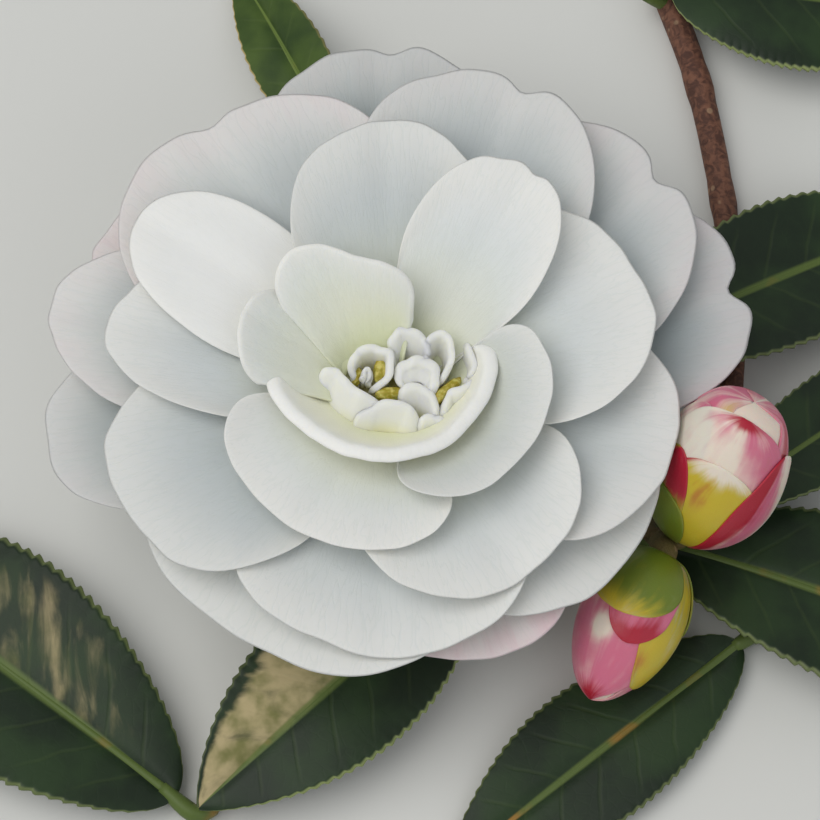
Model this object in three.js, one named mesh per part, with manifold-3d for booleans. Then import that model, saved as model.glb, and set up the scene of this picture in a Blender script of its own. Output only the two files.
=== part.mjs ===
// A cut camellia sprig, lying on a table: one large double bloom that faces up, two buds beside it,
// and glossy leaves on a thin, branching, brown twig.
//
// Millimetres, +Z up. Everything is placed in the sprig's own frame, where the bloom's axis is the Z axis
// and the table is Z = 0. At the end the sprig is set down with the middle of its box over the origin.
import * as THREE from 'three';
import { mergeVertices } from 'three/addons/utils/BufferGeometryUtils.js';
import Module from 'manifold-3d';

const wasm = await Module();
wasm.setup();

// ---- Driving dimensions -------------------------------------------------------------------------------

const GAP = 0.3; // clear space between neighbouring solids
const BLOOM_ROOT = 13; // the petals' attachment above the table

// Petals. A petal leaves the bloom's axis at CLAW_RADIUS, rises at `rise` degrees and bends over to `tip`
// degrees at its rim, which is `reach` from the axis and `height` above BLOOM_ROOT. `cup` is how strongly
// it curves across, in hundredths per millimetre, `notch` the depth of the dip in its rim, and `root` the
// height of its claw.
const CLAW_RADIUS = 1.5;
const CLAW_HALF_WIDTH = 1.6;
const RIM_SHARE = 0.68; // the share of a petal's edge that is its round outer rim
const WIDEST = 0.6; // where a petal is widest, as a share of its length
const CLAW_TAPER = 1.4; // how fast a petal narrows to its claw
const PETAL_AT_CLAW = 0.7; // thickness
const PETAL_AT_RIM = 0.5;

const CUP_PETALS = [
  { azimuth: 130, reach: 13.5, height: 16.2, width: 16, rise: 62, tip: 30, cup: 7, root: 5.6 },
  { azimuth: 172, reach: 15.6, height: 14.5, width: 14, rise: 60, tip: 30, cup: 6, root: 4.4 },
  { azimuth: 262, reach: 10.2, height: 14.6, width: 28, rise: 62, tip: 35, cup: 8.5, root: 6.2 },
  { azimuth: 328, reach: 17, height: 14.4, width: 23, rise: 55, tip: 25, cup: 5, root: 5.2 },
];
const MIDDLE_PETALS = [
  { azimuth: 57, reach: 26.6, height: 16.6, width: 16, rise: 46, tip: 15, cup: 3, root: 5.7, notch: 0.8 },
  { azimuth: 93, reach: 28.5, height: 14.6, width: 21, rise: 43, tip: 8, cup: 3, root: 4.8 },
  { azimuth: 22, reach: 28.5, height: 12.8, width: 25, rise: 42, tip: 4, cup: 2.5, root: 3.7 },
  { azimuth: 299, reach: 26.5, height: 11.4, width: 25, rise: 41, tip: 0, cup: 2.5, root: 2.9 },
  { azimuth: 241, reach: 20.5, height: 12.6, width: 26, rise: 45, tip: 10, cup: 3, root: 4.4 },
  { azimuth: 168, reach: 31, height: 12, width: 17, rise: 41, tip: 2, cup: 2.2, root: 3.3 },
  { azimuth: 147, reach: 33, height: 12.9, width: 15.5, rise: 41, tip: -4, cup: -1.5, root: 4.1 },
];
const OUTER_PETALS = [
  { azimuth: 207, reach: 32, height: 10.4, width: 25, rise: 34, tip: -2, cup: 1.5, root: 2.7 },
  { azimuth: 266.7, reach: 30.2, height: 8.9, width: 31, rise: 34, tip: -2, cup: 1.5, root: 2 },
  { azimuth: 341, reach: 30.5, height: 10.2, width: 28, rise: 35, tip: 0, cup: 1.5, root: 2.7 },
  { azimuth: 43, reach: 39, height: 8.8, width: 29.5, rise: 31, tip: -2, cup: 1.2, root: 1.8, notch: 1.6 },
  { azimuth: 70, reach: 37.8, height: 11.3, width: 27, rise: 35, tip: -1, cup: 1.2, root: 3.2, notch: 1 },
  { azimuth: 127, reach: 37.8, height: 10, width: 32, rise: 33, tip: -4, cup: 1.2, root: 2.4, notch: 1.2 },
  { azimuth: 166, reach: 38, height: 8.8, width: 20, rise: 31, tip: -3, cup: 1.5, root: 1.8 },
];
const LOWEST_PETALS = [
  { azimuth: 243, reach: 32.5, height: 6.6, width: 37, rise: 26, tip: -8, cup: 1, root: 1.4 },
  { azimuth: 291, reach: 31, height: 5.4, width: 24, rise: 23, tip: -8, cup: 1, root: 0.5 },
  { azimuth: 320, reach: 30.8, height: 7.3, width: 28, rise: 26, tip: -6, cup: 1, root: 1.8 },
  { azimuth: 20.9, reach: 40.6, height: 6, width: 26, rise: 23, tip: -8, cup: 0.8, root: 0.5, notch: 2 },
  { azimuth: 93, reach: 42, height: 6.4, width: 28, rise: 24, tip: -8, cup: 1, root: 0.6, notch: 1 },
  { azimuth: 188, reach: 37.3, height: 5.6, width: 21, rise: 22, tip: -8, cup: 1, root: 0.5 },
  { azimuth: 149, reach: 36.5, height: 7.3, width: 20, rise: 26, tip: -6, cup: 1, root: 1.4 },
];

// The heart is a dome under a cluster of small scrolls. Each scroll stands round its own upright axis at
// `x`, `y`, from azimuth `from` to azimuth `to`, and its upper edge is `top` above BLOOM_ROOT.
const CORE = { foot: 3, radius: 7.4, widest: 4.1, top: 7.4 };
const SCROLL_FOOT = 4.5;
const SCROLL_FLARE = 0.25; // how much wider a scroll is at its upper edge
const SCROLL_THICKNESS = 0.6;
const SCROLLS = [
  { x: -2.6, y: 2, radius: 2, from: -60, to: 200, top: 9.8 },
  { x: -2.4, y: 1, radius: 3.8, from: 165, to: 290, top: 9.4 },
  { x: 0, y: 2.5, radius: 3.4, from: 215, to: 290, top: 9.3 },
  { x: 1.5, y: 1.5, radius: 2.8, from: 45, to: 135, top: 10.6 },
  { x: 3, y: 1, radius: 3.4, from: 15, to: 88, top: 10.6 },
  { x: 3, y: 0.5, radius: 4.6, from: -15, to: 60, top: 9.6 },
  { x: 3.5, y: 1.5, radius: 3.8, from: -72, to: -5, top: 9.3 },
  { x: -1.5, y: -0.5, radius: 4, from: 212, to: 300, top: 8 },
  { x: 2.5, y: 0, radius: 3.2, from: 265, to: 315, top: 8.8 },
  { x: 1.8, y: -0.4, radius: 2.2, from: -60, to: 60, top: 9.6 },
];

// The calyx is a shallow cup of green scales. Its foot is the end of the bloom's stalk.
const CALYX = { radius: 7.2, lip: 1.1, floor: 3.5, throat: 5.2, stalk: 1.9, depth: 5.7 };

// Twigs: smooth curves through a few points, tapering from one radius to the other.
const TWIG_ENDS = {
  main_twig: { thick: 1.8, thin: 1.2 },
  flower_shoot: { thick: 1.35, thin: 1.5 },
  lower_shoot: { thick: 1.3, thin: 1.0 },
  upper_shoot: { thick: 1.1, thin: 0.9 },
  bud_spur: { thick: 1.3, thin: 1.15 },
};
const TWIG_POINTS = {
  main_twig: [[25.6, 79, 1.8], [31.6, 60, 1.8], [35.4, 47, 1.8], [38, 29.4, 1.7], [38.6, 18, 1.6],
    [37.6, 4, 1.5], [37.4, -9, 1.4], [39.4, -18.4, 1.5]],
  flower_shoot: [[35.9, 11.3, 1.7], [28, 9, 2.4], [16, 5.6, 3], [5, 1.6, 3.2], [0.4, 0.1, 4.6], [0, 0, 6.6]],
  lower_shoot: [[10.4, 1.2, 2.6], [10.8, -8, 2.8], [8, -17, 2.4], [-3, -29, 1.8], [-19.6, -40, 1]],
  upper_shoot: [[7.2, 4.6, 3.4], [3, 14, 3.8], [-1.6, 26.6, 4.6]],
  bud_spur: [[22.4, 5.6, 3.4], [25, -3, 4.2], [27, -9.4, 6], [28.7, -12.6, 8]],
};

// Buds: ovoid, from `base` along `axis`.
const BUDS = {
  bud_right: { base: [30.7, -12.1, 8.9], axis: [7.9, 10.2, 14.2], length: 20.2, width: 14.5, point: 0.1 },
  bud_lower: { base: [28.8, -14.8, 10.6], axis: [-7.3, -13.9, -3], length: 17.6, width: 12.2, point: 0.4 },
};

// Leaves: `base` is where the stalk leaves the twig. The midrib arches `arch` above the straight line from
// there to the tip. `roll` turns the blade about the midrib, left side up, and `fold` lifts both halves.
const LEAF_STALK = 3; // its length
const LEAF_STALK_HALF_WIDTH = 0.8;
const LEAF_STALK_THICKNESS = 1.5;
const LEAF_TIP_HALF_WIDTH = 0.25;
const LEAF_THICKNESS = 0.6;
const LEAVES = {
  leaf_top: { base: [-3.2, 29, 5.6], tip: [-20.4, 64.8, 0.3], width: 10, arch: 2.4, roll: -30, fold: 14 },
  leaf_top_right: { base: [29.4, 57.4, 4.6], tip: [65, 55, 0.3], width: 20.5, arch: 3.4, roll: 4, fold: 10 },
  leaf_left: { base: [-21.2, -41.2, 1.8], tip: [-68, -6.2, 0.3], width: 24.5, arch: 3, fold: 12 },
  leaf_bottom: { base: [9.8, -13.4, 5.2], tip: [-20.8, -41.1, 4.1], width: 18.6, arch: 2, roll: -8, fold: 10 },
  leaf_lower_right: { base: [39.8, -20.4, 2.2], tip: [3.5, -48.6, 0.3], width: 15.6, arch: 0.6, fold: 5 },
  leaf_right: { base: [26.4, -10, 3.2], tip: [76.7, -28.4, 0.3], width: 21.4, arch: 3, roll: -10, fold: 8 },
  leaf_behind_bud: { base: [31.4, -10.4, 6], tip: [70, 16.8, 0.3], width: 12.4, arch: 3, fold: 6 },
  leaf_far_right: { base: [21.2, 9.4, 5], tip: [68, 32, 0.3], width: 18, arch: 2.4, fold: 10 },
};

// ---- Materials ----------------------------------------------------------------------------------------

const material = (color, roughness) => new THREE.MeshStandardMaterial({ color, roughness, metalness: 0 });
const petalWhite = material(0xf1f2ee, 0.55);
const calyxGreen = material(0x8a9a3c, 0.5);
const barkBrown = material(0x7a4a33, 0.8);
const budPink = material(0xe9b3b8, 0.45);
const leafGreen = material(0x2c5a2c, 0.3);
const youngLeafGreen = material(0x4f8a35, 0.35);

// ---- Shape helpers ------------------------------------------------------------------------------------

const { clamp, degToRad, lerp } = THREE.MathUtils;
const vector = (values) => new THREE.Vector3(...values);

// Keeps only the positions, with shared corners merged, so that the surface is closed.
function closed(geometry) {
  geometry.deleteAttribute('normal');
  geometry.deleteAttribute('uv');
  const merged = mergeVertices(geometry, 1e-4);
  merged.computeVertexNormals();
  return merged;
}

// Makes a closed plate from a box: `place(u, v)` is its middle surface and `thickness(u, v)` how thick it
// is there, with u and v from 0 to 1.
function plate(place, thickness, uSteps, vSteps) {
  const geometry = new THREE.BoxGeometry(1, 1, 1, uSteps, vSteps, 1);
  const position = geometry.attributes.position;
  const step = 1e-3;
  for (let i = 0; i < position.count; i += 1) {
    const u = clamp(position.getX(i) + 0.5, 0, 1);
    const v = clamp(position.getY(i) + 0.5, 0, 1);
    const alongU = place(Math.min(u + step, 1), v).sub(place(Math.max(u - step, 0), v));
    const alongV = place(u, Math.min(v + step, 1)).sub(place(u, Math.max(v - step, 0)));
    const normal = alongU.cross(alongV).normalize();
    const point = place(u, v).addScaledVector(normal, position.getZ(i) * thickness(u, v));
    position.setXYZ(i, point.x, point.y, point.z);
  }
  return closed(geometry);
}

// ---- The bloom ----------------------------------------------------------------------------------------

// The petal's flat outline at `side`, from -1 to 1 round its edge: how far out along the petal it lies, and
// how far across.
function petalEdge(side, length, width, notch) {
  const share = Math.abs(side);
  const sign = side < 0 ? -1 : 1;
  const widest = WIDEST * length;
  if (share < RIM_SHARE) {
    const angle = (share / RIM_SHARE) * (Math.PI / 2);
    const across = (width / 2) * Math.sin(angle);
    const fromDip = ((across * sign) / width + 0.06) / 0.09;
    const dip = notch * Math.exp(-(fromDip ** 2));
    return [widest + (length - widest) * Math.cos(angle) ** 0.9 - dip, across * sign];
  }
  const back = (share - RIM_SHARE) / (1 - RIM_SHARE);
  const foot = 0.05 * length;
  const out = lerp(widest, foot, back);
  const swell = Math.sin((Math.PI / 2) * clamp((out - foot) / (widest - foot), 0, 1)) ** CLAW_TAPER;
  return [out, lerp(CLAW_HALF_WIDTH, width / 2, swell) * sign];
}

function petal({ azimuth, reach, height, width, rise, tip, cup, root, notch = 0 }) {
  const riseSlope = Math.tan(degToRad(rise));
  const tipSlope = Math.tan(degToRad(tip));
  const span = reach - CLAW_RADIUS;
  const meet = (height - reach * tipSlope - root + CLAW_RADIUS * riseSlope) / (riseSlope - tipSlope);
  const knee = clamp(meet, CLAW_RADIUS + 0.15 * span, CLAW_RADIUS + 0.85 * span);
  const profile = new THREE.QuadraticBezierCurve(
    new THREE.Vector2(CLAW_RADIUS, root),
    new THREE.Vector2(knee, root + (knee - CLAW_RADIUS) * riseSlope),
    new THREE.Vector2(reach, height),
  );
  const length = profile.getLength();
  const bend = cup / 100;
  const turn = degToRad(azimuth);
  const place = (u, v) => {
    const side = 2 * u - 1;
    const [edgeOut, edgeAcross] = petalEdge(side, length, width, notch);
    const out = clamp((v * edgeOut) / length, 0, 1);
    const across = lerp(CLAW_HALF_WIDTH * side, edgeAcross, v);
    const spine = profile.getPointAt(out);
    const slope = profile.getTangentAt(out);
    const lift = (1 - Math.cos(bend * across)) / bend;
    const radius = spine.x - slope.y * lift;
    const sideways = Math.sin(bend * across) / bend;
    return new THREE.Vector3(
      radius * Math.cos(turn) - sideways * Math.sin(turn),
      radius * Math.sin(turn) + sideways * Math.cos(turn),
      spine.y + slope.x * lift,
    );
  };
  return plate(place, (u, v) => lerp(PETAL_AT_CLAW, PETAL_AT_RIM, v), 8, 3);
}

function scroll({ x, y, radius, from, to, top }) {
  const steps = Math.max(4, Math.round((to - from) / 24));
  const place = (u, v) => {
    const angle = degToRad(lerp(from, to, u));
    const out = radius * (1 + SCROLL_FLARE * v * v);
    const shoulder = 1 - 0.35 * Math.abs(2 * u - 1) ** 3;
    return new THREE.Vector3(
      x + out * Math.cos(angle),
      y + out * Math.sin(angle),
      SCROLL_FOOT + (top - SCROLL_FOOT) * v * shoulder,
    );
  };
  return plate(place, () => SCROLL_THICKNESS, steps, 2);
}

// The dome that the claws and the scrolls are rooted in, with a flat underside.
function core() {
  const profile = [new THREE.Vector2(0, 0), new THREE.Vector2(CORE.foot, 0)];
  const steps = 5;
  for (let i = 0; i < steps; i += 1) {
    const angle = (i / steps) * (Math.PI / 2);
    const out = CORE.radius * Math.cos(angle) ** 0.7;
    profile.push(new THREE.Vector2(out, lerp(CORE.widest, CORE.top, Math.sin(angle))));
  }
  profile.push(new THREE.Vector2(0, CORE.top));
  return closed(new THREE.LatheGeometry(profile, 16).rotateX(Math.PI / 2));
}

function toSolid(geometry) {
  const mesh = new wasm.Mesh({
    numProp: 3,
    vertProperties: Float32Array.from(geometry.attributes.position.array),
    triVerts: Uint32Array.from(geometry.index.array),
  });
  return new wasm.Manifold(mesh);
}

// Fusing the petals seals a few small hollows between them. Keeping only the surface that has the most
// triangles fills them.
function outerSurface(triangles, cornerCount) {
  const parent = Array.from({ length: cornerCount }, (_, corner) => corner);
  const rootOf = (corner) => {
    let root = corner;
    while (parent[root] !== root) root = parent[root];
    parent[corner] = root;
    return root;
  };
  for (let i = 0; i < triangles.length; i += 3) {
    const root = rootOf(triangles[i]);
    parent[rootOf(triangles[i + 1])] = root;
    parent[rootOf(triangles[i + 2])] = root;
  }
  const surfaces = new Map();
  for (let i = 0; i < triangles.length; i += 3) {
    const root = rootOf(triangles[i]);
    if (!surfaces.has(root)) surfaces.set(root, []);
    surfaces.get(root).push(triangles[i], triangles[i + 1], triangles[i + 2]);
  }
  return [...surfaces.values()].reduce((most, next) => (next.length > most.length ? next : most));
}

function toGeometry(solid) {
  const { vertProperties, triVerts } = solid.getMesh();
  const geometry = new THREE.BufferGeometry();
  geometry.setAttribute('position', new THREE.BufferAttribute(vertProperties, 3));
  geometry.setIndex(outerSurface(triVerts, vertProperties.length / 3));
  geometry.computeVertexNormals();
  return geometry;
}

function bloom() {
  const petals = [...CUP_PETALS, ...MIDDLE_PETALS, ...OUTER_PETALS, ...LOWEST_PETALS].map(petal);
  let solid = toSolid(core());
  for (const piece of [...petals, ...SCROLLS.map(scroll)]) {
    solid = solid.add(toSolid(piece));
  }
  // Corners that fusing left almost at one place are merged, and the solid is made again from them.
  const tidied = toSolid(mergeVertices(toGeometry(solid).deleteAttribute('normal'), 2e-3));
  return toGeometry(tidied).translate(0, 0, BLOOM_ROOT);
}

// ---- Calyx, buds, twigs and leaves --------------------------------------------------------------------

function calyx() {
  const outline = [
    [0, -GAP], [CALYX.floor, -GAP], [CALYX.radius - 0.5, CALYX.lip - 0.1], [CALYX.radius, CALYX.lip],
    [CALYX.radius - 0.3, 0.1], [CALYX.throat, -1.8], [3, -3.2], [CALYX.stalk, -4.6],
    [CALYX.stalk, -CALYX.depth], [0, -CALYX.depth],
  ];
  const profile = outline.reverse().map(([out, up]) => new THREE.Vector2(out, up));
  const geometry = new THREE.LatheGeometry(profile, 24).rotateX(Math.PI / 2);
  return closed(geometry).translate(0, 0, BLOOM_ROOT);
}

// `point` sharpens the tip.
function bud({ length, width, point }) {
  const rings = 10;
  const profile = [];
  for (let i = 0; i <= rings; i += 1) {
    const along = i / rings;
    const swell = Math.max(0, Math.sin(Math.PI * along ** 0.85)) ** (0.6 + point * along);
    const ends = i === 0 || i === rings;
    profile.push(new THREE.Vector2(ends ? 0 : (width / 2) * swell, length * along));
  }
  return closed(new THREE.LatheGeometry(profile, 16));
}

function twig(points, thick, thin) {
  const sides = 8;
  const steps = 16;
  const curve = new THREE.CatmullRomCurve3(points.map(vector));
  const frames = curve.computeFrenetFrames(steps);
  const geometry = new THREE.CylinderGeometry(1, 1, 1, sides, steps);
  const position = geometry.attributes.position;
  for (let i = 0; i < position.count; i += 1) {
    const along = clamp(position.getY(i) + 0.5, 0, 1);
    const frame = Math.round(along * steps);
    const radius = lerp(thick, thin, along);
    const point = curve.getPointAt(along)
      .addScaledVector(frames.normals[frame], position.getX(i) * radius)
      .addScaledVector(frames.binormals[frame], -position.getZ(i) * radius);
    position.setXYZ(i, point.x, point.y, point.z);
  }
  return closed(geometry);
}

// Half the leaf's width at `along`, from 0 at the twig to 1 at the tip, where the blade starts at `stalk`.
function leafHalfWidth(along, width, stalk) {
  const blade = clamp((along - stalk) / (1 - stalk), 0, 1);
  const swell = Math.max(0, Math.sin(Math.PI * blade ** 0.9)) ** (0.6 + 0.6 * blade);
  return Math.max((width / 2) * swell, lerp(LEAF_STALK_HALF_WIDTH, LEAF_TIP_HALF_WIDTH, along));
}

function leaf({ base, tip, width, arch, fold, roll = 0 }) {
  const start = vector(base);
  const end = vector(tip);
  const middle = start.clone().lerp(end, 0.5);
  middle.z += 2 * arch;
  const midrib = new THREE.QuadraticBezierCurve3(start, middle, end);
  const stalk = LEAF_STALK / midrib.getLength();
  const place = (u, v) => {
    const tangent = midrib.getTangentAt(u);
    const across = new THREE.Vector3(-tangent.y, tangent.x, 0).normalize();
    across.applyAxisAngle(tangent, degToRad(roll));
    const up = tangent.clone().cross(across);
    const side = (2 * v - 1) * leafHalfWidth(u, width, stalk);
    return midrib.getPointAt(u)
      .addScaledVector(across, side * Math.cos(degToRad(fold)))
      .addScaledVector(up, Math.abs(side) * Math.sin(degToRad(fold)));
  };
  const thickness = (u) => lerp(LEAF_STALK_THICKNESS, LEAF_THICKNESS, clamp(u / (2 * stalk), 0, 1));
  return plate(place, thickness, 14, 4);
}

// ---- The sprig ----------------------------------------------------------------------------------------

const sprig = new THREE.Group();

function addPart(name, geometry, surface) {
  const mesh = new THREE.Mesh(geometry, surface);
  mesh.name = name;
  sprig.add(mesh);
  return mesh;
}

addPart('bloom', bloom(), petalWhite);
addPart('calyx', calyx(), calyxGreen);
for (const [name, { thick, thin }] of Object.entries(TWIG_ENDS)) {
  addPart(name, twig(TWIG_POINTS[name], thick, thin), barkBrown);
}
for (const [name, shape] of Object.entries(BUDS)) {
  const mesh = addPart(name, bud(shape), budPink);
  mesh.position.set(...shape.base);
  mesh.quaternion.setFromUnitVectors(new THREE.Vector3(0, 1, 0), vector(shape.axis).normalize());
}
for (const [name, shape] of Object.entries(LEAVES)) {
  addPart(name, leaf(shape), name === 'leaf_top' ? youngLeafGreen : leafGreen);
}

const box = new THREE.Box3().setFromObject(sprig, true);
const centre = box.getCenter(new THREE.Vector3());
sprig.position.set(-centre.x, -centre.y, -box.min.z);

export default sprig;
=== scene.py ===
# %% [markdown]
# # A cut camellia sprig
#
# The sprig lies on a table. One large, white, double bloom faces up, two buds with pink streaks sit beside
# it, and glossy leaves stand round it on a thin brown twig. The solids of the frame say where each piece
# is. This script dresses them: thin petals with soft rims, a curled heart, veined and toothed leaves, buds
# with painted streaks, and bark.

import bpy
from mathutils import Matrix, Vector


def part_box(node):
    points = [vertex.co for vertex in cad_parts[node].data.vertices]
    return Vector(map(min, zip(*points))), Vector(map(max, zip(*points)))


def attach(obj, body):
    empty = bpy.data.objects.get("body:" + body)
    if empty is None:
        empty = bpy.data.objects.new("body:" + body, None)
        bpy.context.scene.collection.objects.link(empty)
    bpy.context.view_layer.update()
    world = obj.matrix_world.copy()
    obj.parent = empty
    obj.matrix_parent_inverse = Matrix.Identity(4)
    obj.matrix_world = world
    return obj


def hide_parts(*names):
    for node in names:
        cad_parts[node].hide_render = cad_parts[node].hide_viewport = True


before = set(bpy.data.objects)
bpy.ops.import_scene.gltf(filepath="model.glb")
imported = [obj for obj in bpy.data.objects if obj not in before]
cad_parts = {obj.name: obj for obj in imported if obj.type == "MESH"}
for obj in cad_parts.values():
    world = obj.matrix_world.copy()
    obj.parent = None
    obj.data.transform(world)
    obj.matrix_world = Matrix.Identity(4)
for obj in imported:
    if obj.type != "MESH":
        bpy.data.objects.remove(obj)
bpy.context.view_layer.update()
print("nodes:", len(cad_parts))

# %% Libraries
import math
from collections import namedtuple

import bmesh
import bpy
from mathutils import Matrix, Vector, noise

scene = bpy.context.scene
noise.seed_set(1)  # noise_vector would otherwise start from the time of day

# %% [markdown]
# ## Where things are
#
# The sprig was shaped in its own frame, in millimetres, with the bloom's axis as the Z axis. Afterwards it
# was set down with the middle of its box over the origin. The calyx is a turned piece, so the middle of its
# box is still on the bloom's axis, and the underside of the bloom is flat at a known height. Those two give
# back the shift, with no number copied from elsewhere.

# %% The sprig's own frame
MM = 0.001
BLOOM_ROOT = 13.0  # the petals' attachment above the table, in millimetres

calyx_low, calyx_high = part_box("calyx")
bloom_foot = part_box("bloom")[0].z
calyx_middle = (calyx_low + calyx_high) / 2
ORIGIN = Vector((calyx_middle.x, calyx_middle.y, bloom_foot - BLOOM_ROOT * MM))


def placed(x, y, z):
    """A point of the sprig's own frame, in millimetres, as a point of the model in metres."""
    return ORIGIN + Vector((x, y, z)) * MM


print("the sprig's own origin is at", [round(value, 5) for value in ORIGIN])

# %% [markdown]
# ## The camera
#
# The bloom is seen from in front and well above, 68 degrees up, through a long lens. The camera comes first,
# because it shows at once whether a petal is where it should be. Its distance and its lens give the frame
# a known width at the bloom's heart: 820 pixels of 0.1056 mm.

# %% Camera
ELEVATION = math.radians(68)
DISTANCE = 320.0
PIXEL = 0.1056
FRAME_PIXELS = 820
SENSOR = 36.0
HEART_HEIGHT = 9.0  # the heart above the petals' attachment
RIGHT_OF_HEART = 15  # pixels from the bloom's heart to the middle of the frame
BELOW_HEART = 25

camera_up = Vector((0, math.sin(ELEVATION), math.cos(ELEVATION)))
camera_back = Vector((0, -math.cos(ELEVATION), math.sin(ELEVATION)))
target = Vector((RIGHT_OF_HEART * PIXEL, 0, BLOOM_ROOT + HEART_HEIGHT)) - camera_up * BELOW_HEART * PIXEL

camera_data = bpy.data.cameras.new("camera")
camera_data.sensor_width = SENSOR
camera_data.lens = DISTANCE * SENSOR / (FRAME_PIXELS * PIXEL)
camera_data.clip_start = 0.01
camera = bpy.data.objects.new("camera", camera_data)
camera.location = placed(*(target + camera_back * DISTANCE))
camera.rotation_euler = (math.pi / 2 - ELEVATION, 0, 0)
scene.collection.objects.link(camera)
scene.camera = camera
print("lens", round(camera_data.lens, 1), "mm")

# %% [markdown]
# ## Helpers for shaders
#
# A material here is a small tree of nodes. A Value is the output of one node: sums with it add Math nodes,
# and its methods add the steps that come back in each material, such as a soft threshold, a mix of two
# colours or a noise. That keeps a material down to what is special about it.

# %% Helpers for shader nodes
MIX_FIRST, MIX_SECOND, MIX_RESULT = 6, 7, 2  # the colour sockets of a Mix node
SKIN_BUMP = 0.00005  # how deep the finest relief is, in metres
MATERIALS = {}


class Value:
    """The output of a node, as something to reckon with."""

    def __init__(self, tree, socket):
        self.tree = tree
        self.socket = socket

    def math(self, operation, other=0.0):
        return add_node(self.tree, "Math", {0: self, 1: other}, operation=operation)

    def __add__(self, other):
        return self.math("ADD", other)

    def __sub__(self, other):
        return self.math("SUBTRACT", other)

    def __mul__(self, other):
        return self.math("MULTIPLY", other)

    def step(self, low, high):
        """0 up to low and 1 from high on, or the other way round where low is the larger."""
        sockets = {"Value": self, "From Min": low, "From Max": high}
        return add_node(self.tree, "MapRange", sockets, "Result", interpolation_type="SMOOTHSTEP")

    def mix(self, first, second):
        """The first colour where this value is 0 or less, and the second where it is 1 or more."""
        sockets = {0: self, MIX_FIRST: first, MIX_SECOND: second}
        return add_node(self.tree, "Mix", sockets, MIX_RESULT, data_type="RGBA")

    def noise(self, scale, detail=2.0, distortion=0.0):
        sockets = {"Vector": self, "Scale": scale, "Detail": detail, "Distortion": distortion}
        return add_node(self.tree, "TexNoise", sockets, "Fac")

    def bump(self, distance, strength):
        sockets = {"Height": self, "Distance": distance, "Strength": strength}
        return add_node(self.tree, "Bump", sockets, "Normal")


def feed(tree, socket, value):
    """Links a socket to a Value, or sets it to a number, a colour or a vector."""
    if isinstance(value, Value):
        tree.links.new(value.socket, socket)
    else:
        socket.default_value = value


def add_node(tree, kind, sockets, output=0, **settings):
    """Adds a node, feeds its sockets, by number or by name, and returns one of its outputs."""
    node = tree.nodes.new("ShaderNode" + kind)
    for key, value in settings.items():
        setattr(node, key, value)
    for key, value in sockets.items():
        feed(tree, node.inputs[key], value)
    return Value(tree, node.outputs[output])


def object_place(tree):
    return add_node(tree, "TexCoord", {}, "Object")


def own_map(tree):
    """The shares across and along that bend_grid keeps in the UV map."""
    return add_node(tree, "UVMap", {}, "UV")


def painted(tree, name):
    """A value that was painted on the mesh's points."""
    return add_node(tree, "Attribute", {}, "Fac", attribute_name=name)


def colour(red, green, blue):
    """A colour as a screen shows it, from 0 to 255, as the linear value that a shader reads."""
    def linear(value):
        share = value / 255
        return share / 12.92 if share <= 0.04045 else ((share + 0.055) / 1.055) ** 2.4

    return (linear(red), linear(green), linear(blue), 1)


def dress(tree, **values):
    """Feeds sockets of a material's shader."""
    for key, value in values.items():
        feed(tree, tree.nodes["Principled BSDF"].inputs[key.replace("_", " ")], value)


def new_material(name, **uniform):
    """The tree of a new material. uniform names sockets of its shader that are the same all over."""
    material = bpy.data.materials.new(name)
    material.use_nodes = True
    MATERIALS[name] = material
    dress(material.node_tree, **uniform)
    return material.node_tree


print("shader helpers ready")

# %% [markdown]
# ## Shared finishes
#
# Three effects are used by more than one material. Petals, bud scales and the calyx all have soft streaks
# that run lengthwise, leaves of both ages have the same net of veins, and everything that grows has a fine
# grain. A node group holds each one, so that every material sets only how strong it is.

# %% Helpers for node groups


def new_group(name, inputs, rule):
    """A shader node group. rule turns its inputs into its outputs, by name."""
    group = bpy.data.node_groups.new(name, "ShaderNodeTree")
    for title, kind in inputs.items():
        group.interface.new_socket(name=title, in_out="INPUT", socket_type="NodeSocket" + kind)
    given = group.nodes.new("NodeGroupInput")
    results = rule(*[Value(group, given.outputs[title]) for title in inputs])
    for title in results:
        group.interface.new_socket(name=title, in_out="OUTPUT", socket_type="NodeSocketFloat")
    made = group.nodes.new("NodeGroupOutput")
    for title, value in results.items():
        feed(group, made.inputs[title], value)
    print(name, "is ready")
    return group


def use_group(tree, group, **values):
    """Adds a node group to a tree, and returns its outputs by name."""
    node = tree.nodes.new("ShaderNodeGroup")
    node.node_tree = group
    for key, value in values.items():
        feed(tree, node.inputs[key.replace("_", " ")], value)
    return {socket.name: Value(tree, socket) for socket in node.outputs}


# %% Node group: lengthwise streaks
def streak_rule(own_uv, streaks):
    stretch = add_node(own_uv.tree, "CombineXYZ", {"X": streaks, "Y": 2.2})
    scaled = add_node(own_uv.tree, "VectorMath", {0: own_uv, 1: stretch}, operation="MULTIPLY")
    ridge = (scaled.noise(3.2, 1.0, 0.2) - 0.5).math("ABSOLUTE")
    return {"Streak": scaled.noise(1.0, 3.0, 0.4).step(0.36, 0.64), "Vein": ridge.step(0.045, 0.0)}


STREAKS = new_group("lengthwise_streaks", {"Map": "Vector", "Streaks": "Float"}, streak_rule)


# %% Node group: the veins of a leaf
def vein_rule(vein_count, from_midrib, place):
    phase = (vein_count + place.noise(160.0) * 0.3).math("FRACT")
    line = (phase - 0.5).math("ABSOLUTE").step(0.075, 0.01)
    sockets = {"Vector": place, "Scale": 620.0}
    cells = add_node(place.tree, "TexVoronoi", sockets, "Distance", feature="DISTANCE_TO_EDGE")
    return {
        "Vein": line * from_midrib.step(0.93, 0.55),
        "Midrib": from_midrib.step(0.085, 0.03),
        "Net": cells.step(0.09, 0.0),
    }


VEINS = new_group("leaf_veins", {"Vein Count": "Float", "From Midrib": "Float", "Place": "Vector"}, vein_rule)


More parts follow.
